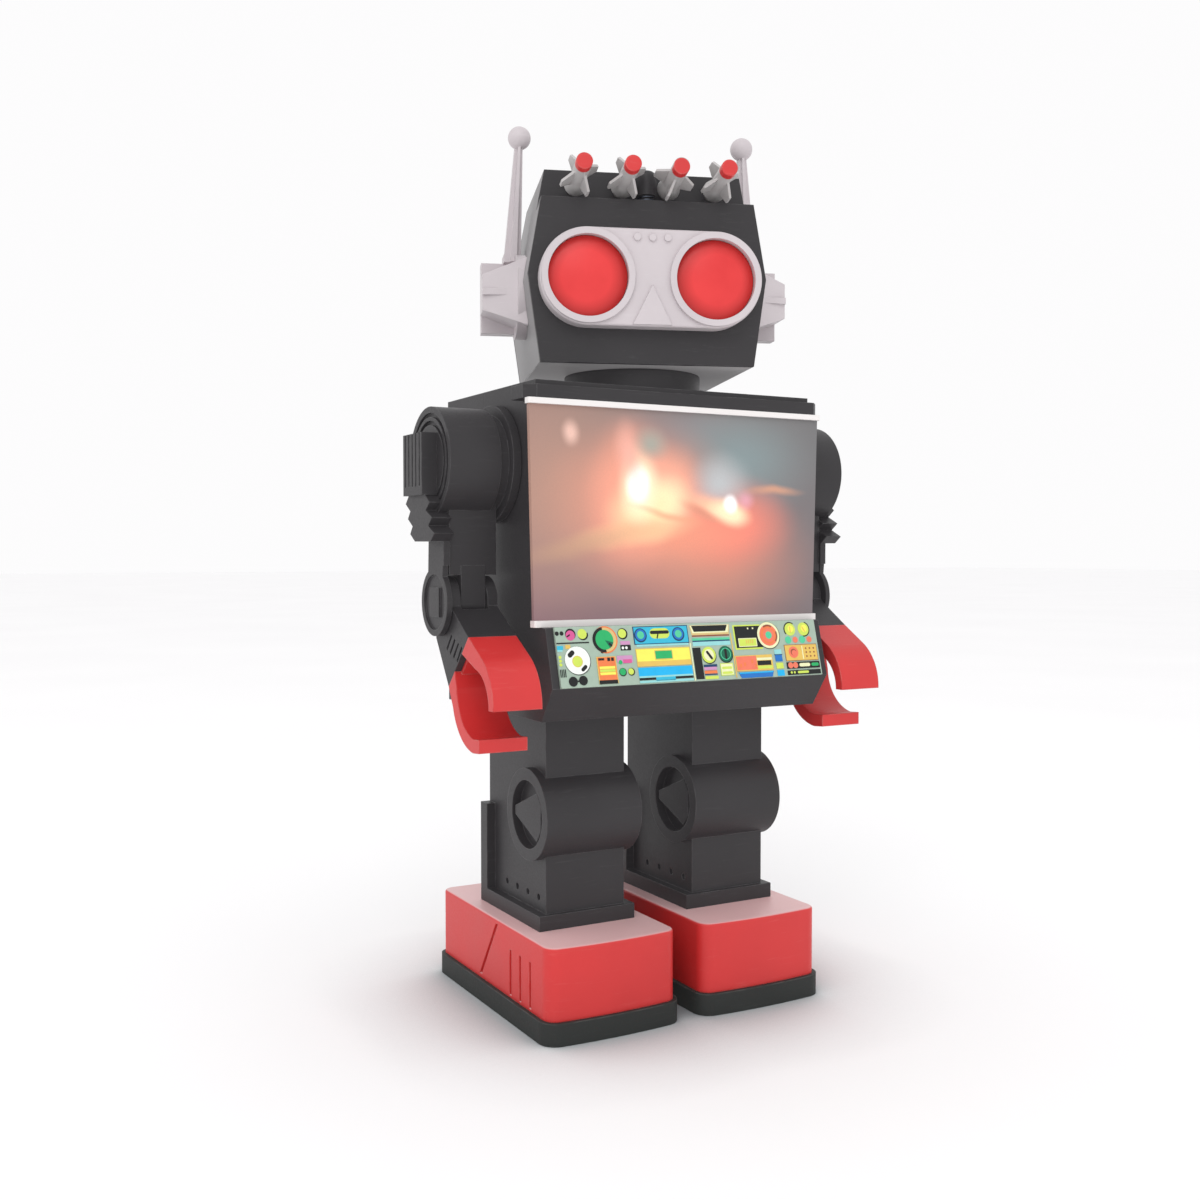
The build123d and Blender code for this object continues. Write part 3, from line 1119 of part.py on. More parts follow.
def claw_hand():
    """Two curved claws on a block that plugs into the forearm."""
    upper = make_face(Curve() + [
        line_from_elbow((-18.9, -17.1), (-24.6, -11.1)),
        line_from_elbow((-24.6, -11.1), (-35.4, -17.5)),
        arc_from_elbow((-35.4, -17.5), (-41.9, -23.8), (-44.8, -34.4)),
        line_from_elbow((-44.8, -34.4), (-41.2, -34.4)),
        arc_from_elbow((-41.2, -34.4), (-37.5, -25.2), (-30.5, -21.5)),
        line_from_elbow((-30.5, -21.5), (-18.9, -17.1))])
    lower = make_face(Curve() + [
        line_from_elbow((-12.6, -23.6), (-7.1, -29.3)),
        line_from_elbow((-7.1, -29.3), (-10.9, -36.2)),
        arc_from_elbow((-10.9, -36.2), (-17.9, -46), (-28.3, -50)),
        line_from_elbow((-28.3, -50), (-33.3, -49.6)),
        line_from_elbow((-33.3, -49.6), (-33.3, -45)),
        line_from_elbow((-33.3, -45), (-28.3, -45.3)),
        arc_from_elbow((-28.3, -45.3), (-18.5, -40), (-14.1, -29.4)),
        line_from_elbow((-14.1, -29.4), (-12.6, -23.6))])
    span = (ARM_INNER, ARM_OUTER)
    solid = along_x(upper, span) + along_x(lower, span)
    inner_span = (ARM_INNER + CLAW_WALL + SEAT, ARM_OUTER - CLAW_WALL - SEAT)
    return solid + along_x(wrist_rectangle(CLAW_TONGUE, CLAW_PLUG, 1.0), inner_span)


# ---------- assembly ----------

def left_and_right(parts, name, shape):
    parts[name + "_left"] = shape
    parts[name + "_right"] = other_side(shape)


def build():
    parts = {}
    parts["torso_front"], parts["torso_back"] = torso_halves()
    parts["torso_fascia"] = torso_fascia()
    parts["screen_bar_top"] = screen_bar(BAR_TOP_HALF, BAR_TOP_FRONT, (SCREEN_TOP, bar_top_top))
    parts["screen_bar_bottom"] = screen_bar(BAR_BOTTOM_HALF, BAR_BOTTOM_FRONT,
                                            (PANEL_TOP, bar_bottom_top))
    parts["screen_window"] = screen_window()
    parts["control_panel"] = control_panel()
    parts["neck_collar"] = neck_collar()
    parts["neck_retainer"] = neck_retainer()
    parts["case_screws"] = case_screws()
    parts["frame_plates"] = frame_plates()
    parts["frame_pillars"] = frame_pillars()
    parts["mainspring"] = mainspring()
    parts["guide_rods"] = guide_rods()
    parts["key_arbor"] = key_arbor()
    parts["winding_key"] = winding_key()
    parts["crown_wheel"] = crown_wheel()
    parts["crank_shaft"] = crank_shaft()
    parts["crank_discs"] = crank_discs()
    parts["picture_drum"] = picture_drum()
    parts["governor"] = governor()
    parts["stop_lever"] = stop_lever()
    left_and_right(parts, "foot_shell", foot_shell())
    left_and_right(parts, "sole", sole())
    left_and_right(parts, "foot_roller", foot_roller())
    left_and_right(parts, "leg", leg())
    left_and_right(parts, "leg_hanger", leg_hanger())
    left_and_right(parts, "shoulder_axle", shoulder_axle())
    left_and_right(parts, "upper_arm", upper_arm())
    left_and_right(parts, "arm_actuator", arm_actuator() - upper_arm())
    left_and_right(parts, "forearm", forearm())
    left_and_right(parts, "claw_hand", claw_hand())
    head = {}
    head["head_front"] = head_front()
    head["head_wrap"] = head_wrap()
    head["head_back"] = head_back()
    head["eye_mask"] = eye_mask()
    head["eye_rings"] = eye_rings()
    head["eye_lenses"] = eye_lenses()
    left_and_right(head, "ear_pod", ear_pod())
    left_and_right(head, "antenna", antenna() - ear_pod())
    head["launcher_block"] = launcher_block()
    head["missile_springs"] = missile_springs()
    for index in range(4):
        head["missile_" + str(index + 1)] = missile(index)
    head["launch_button"] = launch_button()
    head["button_spring"] = button_spring()
    for name, shape in head.items():
        parts[name] = Rot(0, 0, HEAD_TURN) * shape
    return parts


def depth_shift(parts):
    """How far to move everything along Y so that the whole depth is centred."""
    front = min(shape.bounding_box().min.Y for shape in parts.values())
    back = max(shape.bounding_box().max.Y for shape in parts.values())
    return -(front + back) / 2


made = build()
shift = depth_shift(made)
os.makedirs("parts", exist_ok=True)
for node, shape in made.items():
    export_step(Pos(0, shift, 0) * shape, "parts/" + node + ".step")
print("neck axis at y =", round(shift, 4), "nodes:", len(made))
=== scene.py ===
import json
from math import atan2, cos, pi, radians, sin, sqrt

import bmesh
import bpy
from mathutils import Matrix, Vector


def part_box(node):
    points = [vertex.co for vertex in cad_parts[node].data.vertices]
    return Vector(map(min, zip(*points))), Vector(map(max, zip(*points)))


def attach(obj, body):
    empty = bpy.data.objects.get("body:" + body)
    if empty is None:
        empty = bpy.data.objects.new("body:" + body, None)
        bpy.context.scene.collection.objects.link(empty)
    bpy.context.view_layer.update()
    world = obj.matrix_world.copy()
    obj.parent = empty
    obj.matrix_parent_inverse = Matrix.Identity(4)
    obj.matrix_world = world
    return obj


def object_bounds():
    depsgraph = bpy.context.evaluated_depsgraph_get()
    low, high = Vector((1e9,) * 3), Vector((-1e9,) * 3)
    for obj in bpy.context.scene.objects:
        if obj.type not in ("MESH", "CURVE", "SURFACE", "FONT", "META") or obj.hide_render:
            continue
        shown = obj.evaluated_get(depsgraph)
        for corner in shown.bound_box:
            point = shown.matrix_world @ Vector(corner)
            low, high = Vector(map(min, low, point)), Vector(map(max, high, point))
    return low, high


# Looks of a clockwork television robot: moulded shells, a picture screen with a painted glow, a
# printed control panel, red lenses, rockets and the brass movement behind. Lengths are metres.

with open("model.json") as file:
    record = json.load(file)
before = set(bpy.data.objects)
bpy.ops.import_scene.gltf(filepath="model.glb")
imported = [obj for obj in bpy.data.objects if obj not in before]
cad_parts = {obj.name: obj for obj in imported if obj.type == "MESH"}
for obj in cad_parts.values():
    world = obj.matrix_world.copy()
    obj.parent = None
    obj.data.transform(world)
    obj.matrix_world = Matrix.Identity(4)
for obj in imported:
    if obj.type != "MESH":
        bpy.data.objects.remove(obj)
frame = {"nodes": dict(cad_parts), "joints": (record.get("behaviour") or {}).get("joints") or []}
cad_low, cad_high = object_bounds()

MM = 0.001
NODES = frame["nodes"]
JOINTS = {joint["name"]: joint for joint in frame["joints"]}
NECK = Vector(JOINTS["head_turn"]["pos_m"])
AHEAD = Vector(JOINTS["rocket_1_launch"]["axis"]).xy.normalized()
HEAD_TURN = atan2(AHEAD.x, -AHEAD.y)        # the head looks to its right


# ---------- materials ----------

def rgb(red, green, blue):
    """A colour on the usual 0 to 255 scale, as the shader takes it."""
    def linear(value):
        value = value / 255
        return value / 12.92 if value <= 0.04045 else ((value + 0.055) / 1.055) ** 2.4
    return (linear(red), linear(green), linear(blue), 1.0)


def shade(colour, factor):
    return tuple(min(1.0, channel * factor) for channel in colour[:3]) + (1.0,)


class NodeTree:
    """A node tree built one node at a time; an input takes a socket or a plain value."""

    def add(self, kind, inputs=None, **settings):
        node = self.tree.nodes.new(kind)
        for key, value in settings.items():
            setattr(node, key, value)
        for key, value in (inputs or {}).items():
            self.feed(node.inputs[key], value)
        return node

    def feed(self, socket, value):
        if isinstance(value, bpy.types.NodeSocket):
            self.tree.links.new(value, socket)
        else:
            socket.default_value = value

    def math(self, operation, first, second):
        node = self.add("ShaderNodeMath", {0: first, 1: second}, operation=operation)
        return node.outputs[0]


class Finish(NodeTree):
    """A material round one shader, with the patterns that the finishes share."""

    def __init__(self, name):
        self.material = bpy.data.materials.new(name)
        self.material.use_nodes = True
        self.tree = self.material.node_tree
        self.shader = self.tree.nodes["Principled BSDF"]
        self.place = self.add("ShaderNodeTexCoord").outputs["Object"]

    def set(self, **inputs):
        for key, value in inputs.items():
            self.feed(self.shader.inputs[key.replace("_", " ")], value)

    def noise(self, scale, detail=2.0, stretch=(1, 1, 1), roughness=0.5):
        moved = self.add("ShaderNodeMapping", {"Vector": self.place, "Scale": stretch})
        texture = self.add("ShaderNodeTexNoise", {
            "Vector": moved.outputs[0], "Scale": scale, "Detail": detail,
            "Roughness": roughness})
        return texture.outputs["Fac"]

    def spread(self, value, low, high, to_low=0.0, to_high=1.0):
        node = self.add("ShaderNodeMapRange", {
            "Value": value, "From Min": low, "From Max": high,
            "To Min": to_low, "To Max": to_high})
        return node.outputs["Result"]

    def mix(self, factor, first, second, blend="MIX"):
        node = self.add("ShaderNodeMix", data_type="RGBA", blend_type=blend)
        self.feed(node.inputs["Factor"], factor)
        self.feed(node.inputs[6], first)
        self.feed(node.inputs[7], second)
        return node.outputs[2]

    def upward(self):
        """1 on a face that looks up, -1 on one that looks down."""
        normal = self.add("ShaderNodeNewGeometry").outputs["Normal"]
        return self.add("ShaderNodeSeparateXYZ", {"Vector": normal}).outputs["Z"]

    def soft_edge(self, radius):
        """Normal of an edge rounded by radius, and a mask that is 1 along such edges."""
        soft = self.add("ShaderNodeBevel", {"Radius": radius}, samples=4)
        flat = self.add("ShaderNodeNewGeometry").outputs["Normal"]
        dot = self.add("ShaderNodeVectorMath", {0: soft.outputs[0], 1: flat},
                       operation="DOT_PRODUCT")
        return soft.outputs[0], self.spread(dot.outputs["Value"], 0.995, 0.9)


# Pinkish white of the painted sheen on the tops that lie low
PAINTED_SHEEN = (1, 0.93, 0.93, 1)
PAINTED_SHEEN_HEIGHT = 0.05          # the painted sheen lies only on what faces up below this height
PAINTED_SHEEN_FADE = 0.005


def moulded(name, colour, wear_and_highlight, roughness=0.46, specular=0.4, edge=0.45, grain=0.05, spots=0.1,
            painted_underside_glow=0.0, painted_sheen_amount=0.0, painted_fill_glow=0.0):
    """Injection-moulded shell: mottled colour, orange peel, hairline scuffs, and edges paled by
    rubbing that also stand as a painted edge highlight.

    Optional painted light: a painted sheen pales the tops that lie low, a painted glow lights the
    faces that look down, and an even painted glow lights all of it.
    """
    finish = Finish(name)
    normal, edges = finish.soft_edge(edge * MM)
    clouds = finish.noise(28, 4)
    tint = finish.mix(finish.spread(clouds, 0.3, 0.7), shade(colour, 1 - spots),
                      shade(colour, 1 + spots))
    scuffs = finish.noise(260, 3, (0.25, 1, 3.2), 0.65)
    scuffed = finish.spread(scuffs, 0.6, 0.78)
    rub_and_highlight_noise = finish.noise(190, 3)
    # Edges paled towards the lighter colour: partly rubbing wear, partly a painted edge highlight
    rubbed_and_highlit = finish.math("MULTIPLY", edges, finish.spread(rub_and_highlight_noise, 0.4, 0.62, 0.15, 0.8))
    tint = finish.mix(finish.math("MULTIPLY", scuffed, 0.16), tint, wear_and_highlight)
    tint = finish.mix(rubbed_and_highlit, tint, wear_and_highlight)
    # Painted sheen: up-facing tops that lie low are paled towards pinkish white
    if painted_sheen_amount:
        height = finish.add("ShaderNodeSeparateXYZ", {"Vector": finish.place}).outputs["Z"]
        low_down = finish.spread(height, PAINTED_SHEEN_HEIGHT, PAINTED_SHEEN_HEIGHT - PAINTED_SHEEN_FADE, 0.0, painted_sheen_amount)
        painted_sheen_mask = finish.math("MULTIPLY", finish.spread(finish.upward(), 0.6, 0.98), low_down)
        tint = finish.mix(painted_sheen_mask, tint, PAINTED_SHEEN)
    speckle = finish.noise(1500, 2)
    rough = finish.math("ADD", finish.spread(speckle, 0.3, 0.7, roughness - 0.05, roughness + 0.05),
                        finish.spread(clouds, 0.3, 0.7, -0.04, 0.05))
    rough = finish.math("ADD", rough, finish.math("MULTIPLY", scuffed, 0.08))
    peel = finish.math("ADD", finish.noise(700, 2), finish.math("MULTIPLY", scuffs, 0.5))
    bump = finish.add("ShaderNodeBump", {"Strength": grain * 4, "Distance": 0.00006,
                                         "Height": peel, "Normal": normal})
    finish.set(Base_Color=tint, Roughness=rough, Normal=bump.outputs[0])
    finish.set(Specular_IOR_Level=specular)
    # Painted light: an emission glow on the faces that look down, and an even glow over all of it
    if painted_underside_glow:
        lift = finish.spread(finish.upward(), -0.5, -0.95, painted_fill_glow, painted_fill_glow + painted_underside_glow)
        finish.set(Emission_Color=tint, Emission_Strength=lift)
    elif painted_fill_glow:
        finish.set(Emission_Color=tint, Emission_Strength=painted_fill_glow)
    return finish.material


def metal(name, colour, dark, roughness=0.3, brushed=(1, 1, 14), edge=0.2):
    """Turned or rolled metal: brushing, tarnish in patches and a painted highlight along the edges.
    """
    finish = Finish(name)
    normal, edges = finish.soft_edge(edge * MM)
    tarnish = finish.spread(finish.noise(90, 5), 0.4, 0.72)
    tint = finish.mix(finish.math("MULTIPLY", tarnish, 0.7), colour, dark)
    # Painted highlight: every edge is brightened a quarter above the metal's colour
    tint = finish.mix(finish.math("MULTIPLY", edges, 0.5), tint, shade(colour, 1.25))
    lines = finish.noise(420, 3, brushed)
    rough = finish.math("ADD", finish.spread(lines, 0.3, 0.7, roughness - 0.08, roughness + 0.1),
                        finish.math("MULTIPLY", tarnish, 0.18))
    bump = finish.add("ShaderNodeBump", {"Strength": 0.25, "Distance": 0.00004,
                                         "Height": lines, "Normal": normal})
    finish.set(Base_Color=tint, Roughness=rough, Normal=bump.outputs[0], Metallic=1.0)
    return finish.material


def lens_red():
    """Clear red moulding: bright in the middle, darker towards the rim by painted shade, with a
    faint painted glow.
    """
    finish = Finish("lens_red")
    low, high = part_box("eye_lenses")
    middle = (low + high) / 2
    radius = (high.z - low.z) / 2
    apart = ((high.x - low.x) / 2 - radius * cos(HEAD_TURN)) / cos(HEAD_TURN)
    nearest = None
    for side in (-1, 1):
        centre = middle + side * apart * Vector((cos(HEAD_TURN), sin(HEAD_TURN), 0))
        away = finish.add("ShaderNodeVectorMath", {0: finish.place, 1: centre},
                          operation="DISTANCE").outputs["Value"]
        nearest = away if nearest is None else finish.math("MINIMUM", nearest, away)
    clouds = finish.spread(finish.noise(60, 3), 0.3, 0.7)
    tint = finish.mix(clouds, rgb(214, 54, 55), rgb(224, 62, 62))
    # Painted shade: the lens darkens towards its rim
    tint = finish.mix(finish.spread(nearest, 0.66 * radius, radius, 0.0, 0.75), tint,
                      rgb(166, 34, 32))
    bump = finish.add("ShaderNodeBump", {"Strength": 0.06, "Distance": 0.00005,
                                         "Height": finish.noise(500, 2)})
    rough = finish.spread(finish.noise(900, 2), 0.3, 0.7, 0.3, 0.4)
    finish.set(Base_Color=tint, Roughness=rough, Normal=bump.outputs[0])
    # Painted glow: the lens gives off a little light though no lamp is behind it
    finish.set(Emission_Color=tint, Emission_Strength=0.05)
    finish.set(Specular_IOR_Level=0.3)
    return finish.material


# ---------- the picture on the screen ----------

SCREEN_LOW, SCREEN_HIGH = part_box("screen_window")
SCREEN_MIDDLE = (SCREEN_LOW + SCREEN_HIGH) / 2
SWIRL = 0.004               # how far the noise can push the picture about


def glow(finish, warped, picture, x, z, wide, high, colour, strength, turn):
    """Blend a soft patch of light into the picture; x and z in mm from the screen's middle."""
    centred = finish.add("ShaderNodeMapping", {
        "Vector": warped,
        "Location": (-SCREEN_MIDDLE.x - x * MM, 0, -SCREEN_MIDDLE.z - z * MM)})
    turned = finish.add("ShaderNodeMapping", {
        "Vector": centred.outputs[0], "Rotation": (0, radians(turn), 0)})
    sized = finish.add("ShaderNodeMapping", {
        "Vector": turned.outputs[0], "Scale": (1 / (wide * MM), 0, 1 / (high * MM))})
    ball = finish.add("ShaderNodeTexGradient", {"Vector": sized.outputs[0]},
                      gradient_type="SPHERICAL").outputs["Fac"]
    smooth = finish.add("ShaderNodeMapRange", {"Value": ball, "To Max": strength},
                        interpolation_type="SMOOTHSTEP")
    return finish.mix(smooth.outputs["Result"], picture, colour)


def screen_picture():
    """A blurred picture of two suns over a planet's limb, with a faint painted glow of its own."""
    finish = Finish("screen_picture")
    swirl = finish.add("ShaderNodeTexNoise", {"Vector": finish.place, "Scale": 42.0, "Detail": 2.0})
    shift = finish.add("ShaderNodeVectorMath", {
        0: swirl.outputs["Color"], 1: (SWIRL, 0.0, SWIRL), 2: finish.place},
        operation="MULTIPLY_ADD")
    warped = finish.add("ShaderNodeMapping", {
        "Vector": shift.outputs[0], "Location": (-SWIRL / 2, 0, -SWIRL / 2)}).outputs[0]
    where = finish.add("ShaderNodeSeparateXYZ", {"Vector": finish.place})
    across = finish.spread(where.outputs["X"], SCREEN_LOW.x, SCREEN_HIGH.x)
    up = finish.spread(where.outputs["Z"], SCREEN_LOW.z, SCREEN_HIGH.z)
    low = finish.mix(across, rgb(130, 104, 112), rgb(122, 112, 114))
    high = finish.mix(across, rgb(142, 120, 114), rgb(112, 112, 113))
    picture = finish.mix(up, low, high)
    # Each patch: place across and up, width, height, colour, strength, turn in degrees.
    patches = (
        (-52, 6, 62, 58, rgb(176, 138, 122), 0.85, 0),      # warm left side
        (12, -17, 58, 34, rgb(200, 137, 118), 0.9, 0),      # warm ground
        (2, 31, 40, 14, rgb(134, 128, 130), 0.7, 0),        # grey upper middle
        (26, 21, 42, 26, rgb(128, 142, 144), 0.95, 0),      # teal sky
        (-16, 3, 48, 36, rgb(222, 150, 128), 1.0, 0),       # halo of the large sun
        (21, -3, 34, 21, rgb(236, 134, 116), 1.05, 0),      # red glow
        (0, -7, 36, 14, rgb(230, 148, 122), 0.8, 0),
        (-21, 7, 22, 32, rgb(240, 160, 136), 1.0, 0),
        (-7, 9, 22, 20, rgb(246, 172, 146), 1.0, 0),
        (-8, 5, 16, 12, rgb(252, 226, 182), 1.1, 0),
        (-16, 1, 19, 14, rgb(252, 220, 170), 0.95, 8),      # spill to the right
        (-18, -6, 32, 7, rgb(246, 190, 146), 0.85, 8),      # bright edge of the limb
        (-38, -10, 38, 6, rgb(190, 152, 124), 0.6, 12),
        (-18, 10, 10, 17, rgb(254, 236, 200), 1.25, 0),     # large sun
        (-18.5, 10.5, 6, 9, rgb(255, 255, 246), 1.7, 0),
        (-22, 21, 8, 15, rgb(230, 170, 154), 0.9, 8),       # flame above it
        (-13, 25, 9, 8, rgb(156, 160, 150), 0.9, 0),
        (17, 12, 17, 14, rgb(180, 184, 186), 0.95, 0),      # cold glow
        (14, 3, 17, 6, rgb(250, 190, 156), 1.0, -14),
        (21, 1.5, 12, 6, rgb(254, 226, 186), 1.3, -14),
        (21.5, 4.5, 4, 4.5, rgb(255, 255, 255), 1.7, 0),    # small sun
        (28, 6, 5, 5, rgb(228, 168, 186), 0.6, 0),          # its magenta fringe
        (41, 9.6, 17, 2.6, rgb(210, 154, 126), 0.8, 0),     # far horizon
        (9, 1, 14, 3, rgb(206, 136, 114), 0.75, -22),       # dark ridge
        (-6, 0, 20, 2.2, rgb(220, 154, 122), 0.65, -12),
        (-45, 28, 4.6, 6, rgb(222, 182, 168), 1.1, 0),      # pale moon
    )
    for patch in patches:
        picture = glow(finish, warped, picture, *patch)
    print_dots = finish.noise(1500, 1)
    picture = finish.mix(finish.spread(print_dots, 0.35, 0.65, 0.0, 0.05), picture,
                         rgb(120, 110, 110))
    rough = finish.spread(finish.noise(150, 3), 0.3, 0.7, 0.34, 0.46)
    bump = finish.add("ShaderNodeBump", {"Strength": 0.05, "Distance": 0.00005,
                                         "Height": finish.noise(300, 2)})
    finish.set(Base_Color=picture, Roughness=rough, Normal=bump.outputs[0])
    # Painted glow: the picture gives off light of its own, with no lamp behind it
    finish.set(Emission_Color=picture, Emission_Strength=0.18)
    finish.set(Specular_IOR_Level=0.15)
    return finish.material


def printed(name, colour):
    """Printing ink: a faint dot screen and uneven cover over the sheet."""
    finish = Finish(name)
    cover = finish.spread(finish.noise(420, 3), 0.35, 0.7)
    dots = finish.add("ShaderNodeTexVoronoi", {"Vector": finish.place, "Scale": 2600.0})
    cell = finish.spread(dots.outputs["Distance"], 0.2, 0.6, 0.0, 0.12)
    tint = finish.mix(finish.math("MULTIPLY", cover, 0.3), colour, shade(colour, 0.78))
    tint = finish.mix(cell, tint, shade(colour, 1.2))
    rough = finish.spread(finish.noise(700, 2), 0.3, 0.7, 0.34, 0.46)
    bump = finish.add("ShaderNodeBump", {"Strength": 0.08, "Distance": 0.00003,
                                         "Height": finish.noise(900, 2)})
    finish.set(Base_Color=tint, Roughness=rough, Normal=bump.outputs[0])
    finish.set(Specular_IOR_Level=0.3)
    return finish.material


# The black shell glows faintly all over: painted fill light
BLACK = moulded("moulded_black", (0.0235, 0.022, 0.0236, 1), (0.085, 0.083, 0.085, 1),
                specular=0.3, painted_fill_glow=0.5)
# The sole also glows faintly all over: painted fill light
SOLE_BLACK = moulded("moulded_sole_black", (0.021, 0.023, 0.022, 1), (0.08, 0.082, 0.08, 1),
                     roughness=0.58, specular=0.25, edge=0.7, grain=0.09, painted_fill_glow=0.35)
# The grey shell glows on the faces that look down: painted light from below
GREY = moulded("moulded_grey", rgb(138, 136, 137), rgb(172, 170, 171), roughness=0.5,
               painted_underside_glow=0.44)
SILVER = moulded("moulded_silver", rgb(201, 193, 196), rgb(228, 223, 224), roughness=0.42,
                 spots=0.05, edge=0.35)
ROCKET_GREY = moulded("moulded_rocket_grey", rgb(190, 187, 186), rgb(218, 214, 214),
                      roughness=0.45, spots=0.06, edge=0.2)
# The red shell's low tops carry the painted sheen
RED = moulded("moulded_red", (0.62, 0.034, 0.034, 1), (0.72, 0.2, 0.18, 1), roughness=0.4,
              spots=0.06, edge=0.6, painted_sheen_amount=0.55)
TRIM_WHITE = moulded("moulded_white", rgb(236, 232, 230), rgb(255, 255, 255), roughness=0.4,
                     spots=0.015, edge=0.2)
RUBBER = moulded("roller_rubber", (0.02, 0.02, 0.02, 1), (0.06, 0.06, 0.06, 1), roughness=0.75,
                 specular=0.25, grain=0.12)
BRASS = metal("brass_plate", rgb(204, 168, 94), rgb(120, 88, 40))
STEEL = metal("turned_steel", rgb(178, 178, 182), rgb(96, 96, 100))
SPRING_STEEL = metal("spring_steel", rgb(122, 128, 140), rgb(70, 72, 84), roughness=0.35)
KEY_STEEL = metal("nickel_key", rgb(206, 204, 200), rgb(140, 134, 124), roughness=0.26)
PICTURE = screen_picture()
PANEL_GROUND = printed("panel_ground", rgb(164, 184, 168))
DRUM_PRINT = printed("drum_print", rgb(206, 150, 120))
LENS = lens_red()

SLOT_FINISH = {
    "black_shell": BLACK, "sole_black": SOLE_BLACK, "grey_shell": GREY, "silver_shell": SILVER,
    "missile_grey": ROCKET_GREY, "red_shell": RED, "red_lens": LENS, "white_trim": TRIM_WHITE,
    "screen_picture": PICTURE, "drum_picture": DRUM_PRINT, "panel_print": PANEL_GROUND,
    "brass_plate": BRASS, "steel_turned": STEEL, "spring_steel": SPRING_STEEL,
    "key_steel": KEY_STEEL, "roller_rubber": RUBBER,
}


def finish_nodes():
    """Give every CAD node the finish of its material slot."""
    for node in NODES.values():
        for place in node.material_slots:
            place.material = SLOT_FINISH[place.material.name]


# ---------- pieces in mesh code ----------

def piece(name, mesh_source, body, materials, smooth=True):
    """Make a finished object of a bmesh and hang it on a CAD body."""
    mesh = bpy.data.meshes.new(name)
    bmesh.ops.recalc_face_normals(mesh_source, faces=mesh_source.faces)
    mesh_source.to_mesh(mesh)
    mesh_source.free()
    for material in materials:
        mesh.materials.append(material)
    for face in mesh.polygons:
        face.use_smooth = smooth
    made = bpy.data.objects.new(name, mesh)
    bpy.context.scene.collection.objects.link(made)
    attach(made, body)
    return made


def turned_profile(mesh, profile, base, axis, steps=40):
    """Add a closed turned shape: (radius, height) pairs from the base along the axis."""
    turn = axis.to_track_quat("Z", "Y").to_matrix()
    rings = []
    for radius, height in profile:
        ring = []
        for step in range(steps):
            angle = 2 * pi * step / steps
            local = Vector((radius * cos(angle), radius * sin(angle), height))
            ring.append(mesh.verts.new(base + turn @ local))
        rings.append(ring)
    for lower, upper in zip(rings, rings[1:]):
        for step in range(steps):
            after = (step + 1) % steps
            mesh.faces.new((lower[step], lower[after], upper[after], upper[step]))
    mesh.faces.new(rings[0][::-1])
    mesh.faces.new(rings[-1])


ROCKET_RADIUS = 2.9 * MM
ROCKET_RISE = 8.21 * MM     # tip's centre above the lowest fin
NOSE_LENGTH = 3.4 * MM
NOSE_SKIN = 0.02 * MM       # the plug stands this far out of the rocket's side


def rocket_noses():
    """Red plug over the tip of each rocket, with a turned shoulder and an eased rim."""
    for number in range(1, 5):
        joint = JOINTS[f"rocket_{number}_launch"]
        axis = Vector(joint["axis"]).normalized()
        low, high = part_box(f"missile_{number}")
        tip = Vector((low.x + ROCKET_RADIUS * sqrt(1 - axis.x**2),
                      low.y + ROCKET_RADIUS * sqrt(1 - axis.y**2), 0))
        tip.z = low.z + ROCKET_RISE
        skin = ROCKET_RADIUS + NOSE_SKIN
        nose = bmesh.new()
        turned_profile(nose, (
            (ROCKET_RADIUS - 0.3 * MM, -NOSE_LENGTH), (skin, -NOSE_LENGTH + 0.15 * MM),
            (skin, 0.01 * MM), (skin - 0.18 * MM, 0.1 * MM), (skin - 0.6 * MM, 0.13 * MM),
            (0.6 * MM, 0.15 * MM)), tip, axis)
        piece(f"rocket_nose_{number}", nose, f"rocket_{number}", [RED], smooth=False)


# ---------- repeated details, instanced by geometry nodes ----------

class Repeat(NodeTree):
    """A geometry node tree with named inputs, run once and kept as a plain mesh."""

    def __init__(self, name, inputs):
        self.name = name
        self.tree = bpy.data.node_groups.new(name, "GeometryNodeTree")
        self.tree.interface.new_socket("Places", in_out="INPUT",
                                       socket_type="NodeSocketGeometry")
        self.keys = {}
        self.values = inputs
        for key, (kind, _) in inputs.items():
            socket = self.tree.interface.new_socket(key, in_out="INPUT",
                                                    socket_type="NodeSocket" + kind)
            self.keys[key] = socket.identifier
        self.tree.interface.new_socket("Result", in_out="OUTPUT",
                                       socket_type="NodeSocketGeometry")
        self.source = self.tree.nodes.new("NodeGroupInput")
        self.sink = self.tree.nodes.new("NodeGroupOutput")

    def given(self, key):
        return self.source.outputs[key]

    def vector(self, x, y, z):
        return self.add("ShaderNodeCombineXYZ", {"X": x, "Y": y, "Z": z}).outputs[0]

    def finish(self, instances, body, slot, places=()):
        """Realize the instances, give them their material and hang them on a body."""
        real = self.add("GeometryNodeRealizeInstances", {"Geometry": instances})
        coated = self.add("GeometryNodeSetMaterial", {"Geometry": real.outputs[0],
                                                      "Material": self.given("Finish")})
        self.tree.links.new(coated.outputs[0], self.sink.inputs[0])
        mesh = bpy.data.meshes.new(self.name)
        mesh.from_pydata([tuple(place) for place in places], [], [])
        made = bpy.data.objects.new(self.name, mesh)
        bpy.context.scene.collection.objects.link(made)
        modifier = made.modifiers.new("repeat", "NODES")
        modifier.node_group = self.tree
        for key, (_, value) in self.values.items():
            modifier[self.keys[key]] = value
        made.update_tag()
        graph = bpy.context.evaluated_depsgraph_get()
        plain = bpy.data.meshes.new_from_object(made.evaluated_get(graph), depsgraph=graph)
        made.modifiers.clear()
        made.data = plain
        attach(made, body)
        return made


SCREW_RADIUS = 2.8 * MM
SCREW_THICK = 0.5 * MM
SCREW_EASE = 0.1 * MM       # each head is this much smaller than its screw, and stands back by it


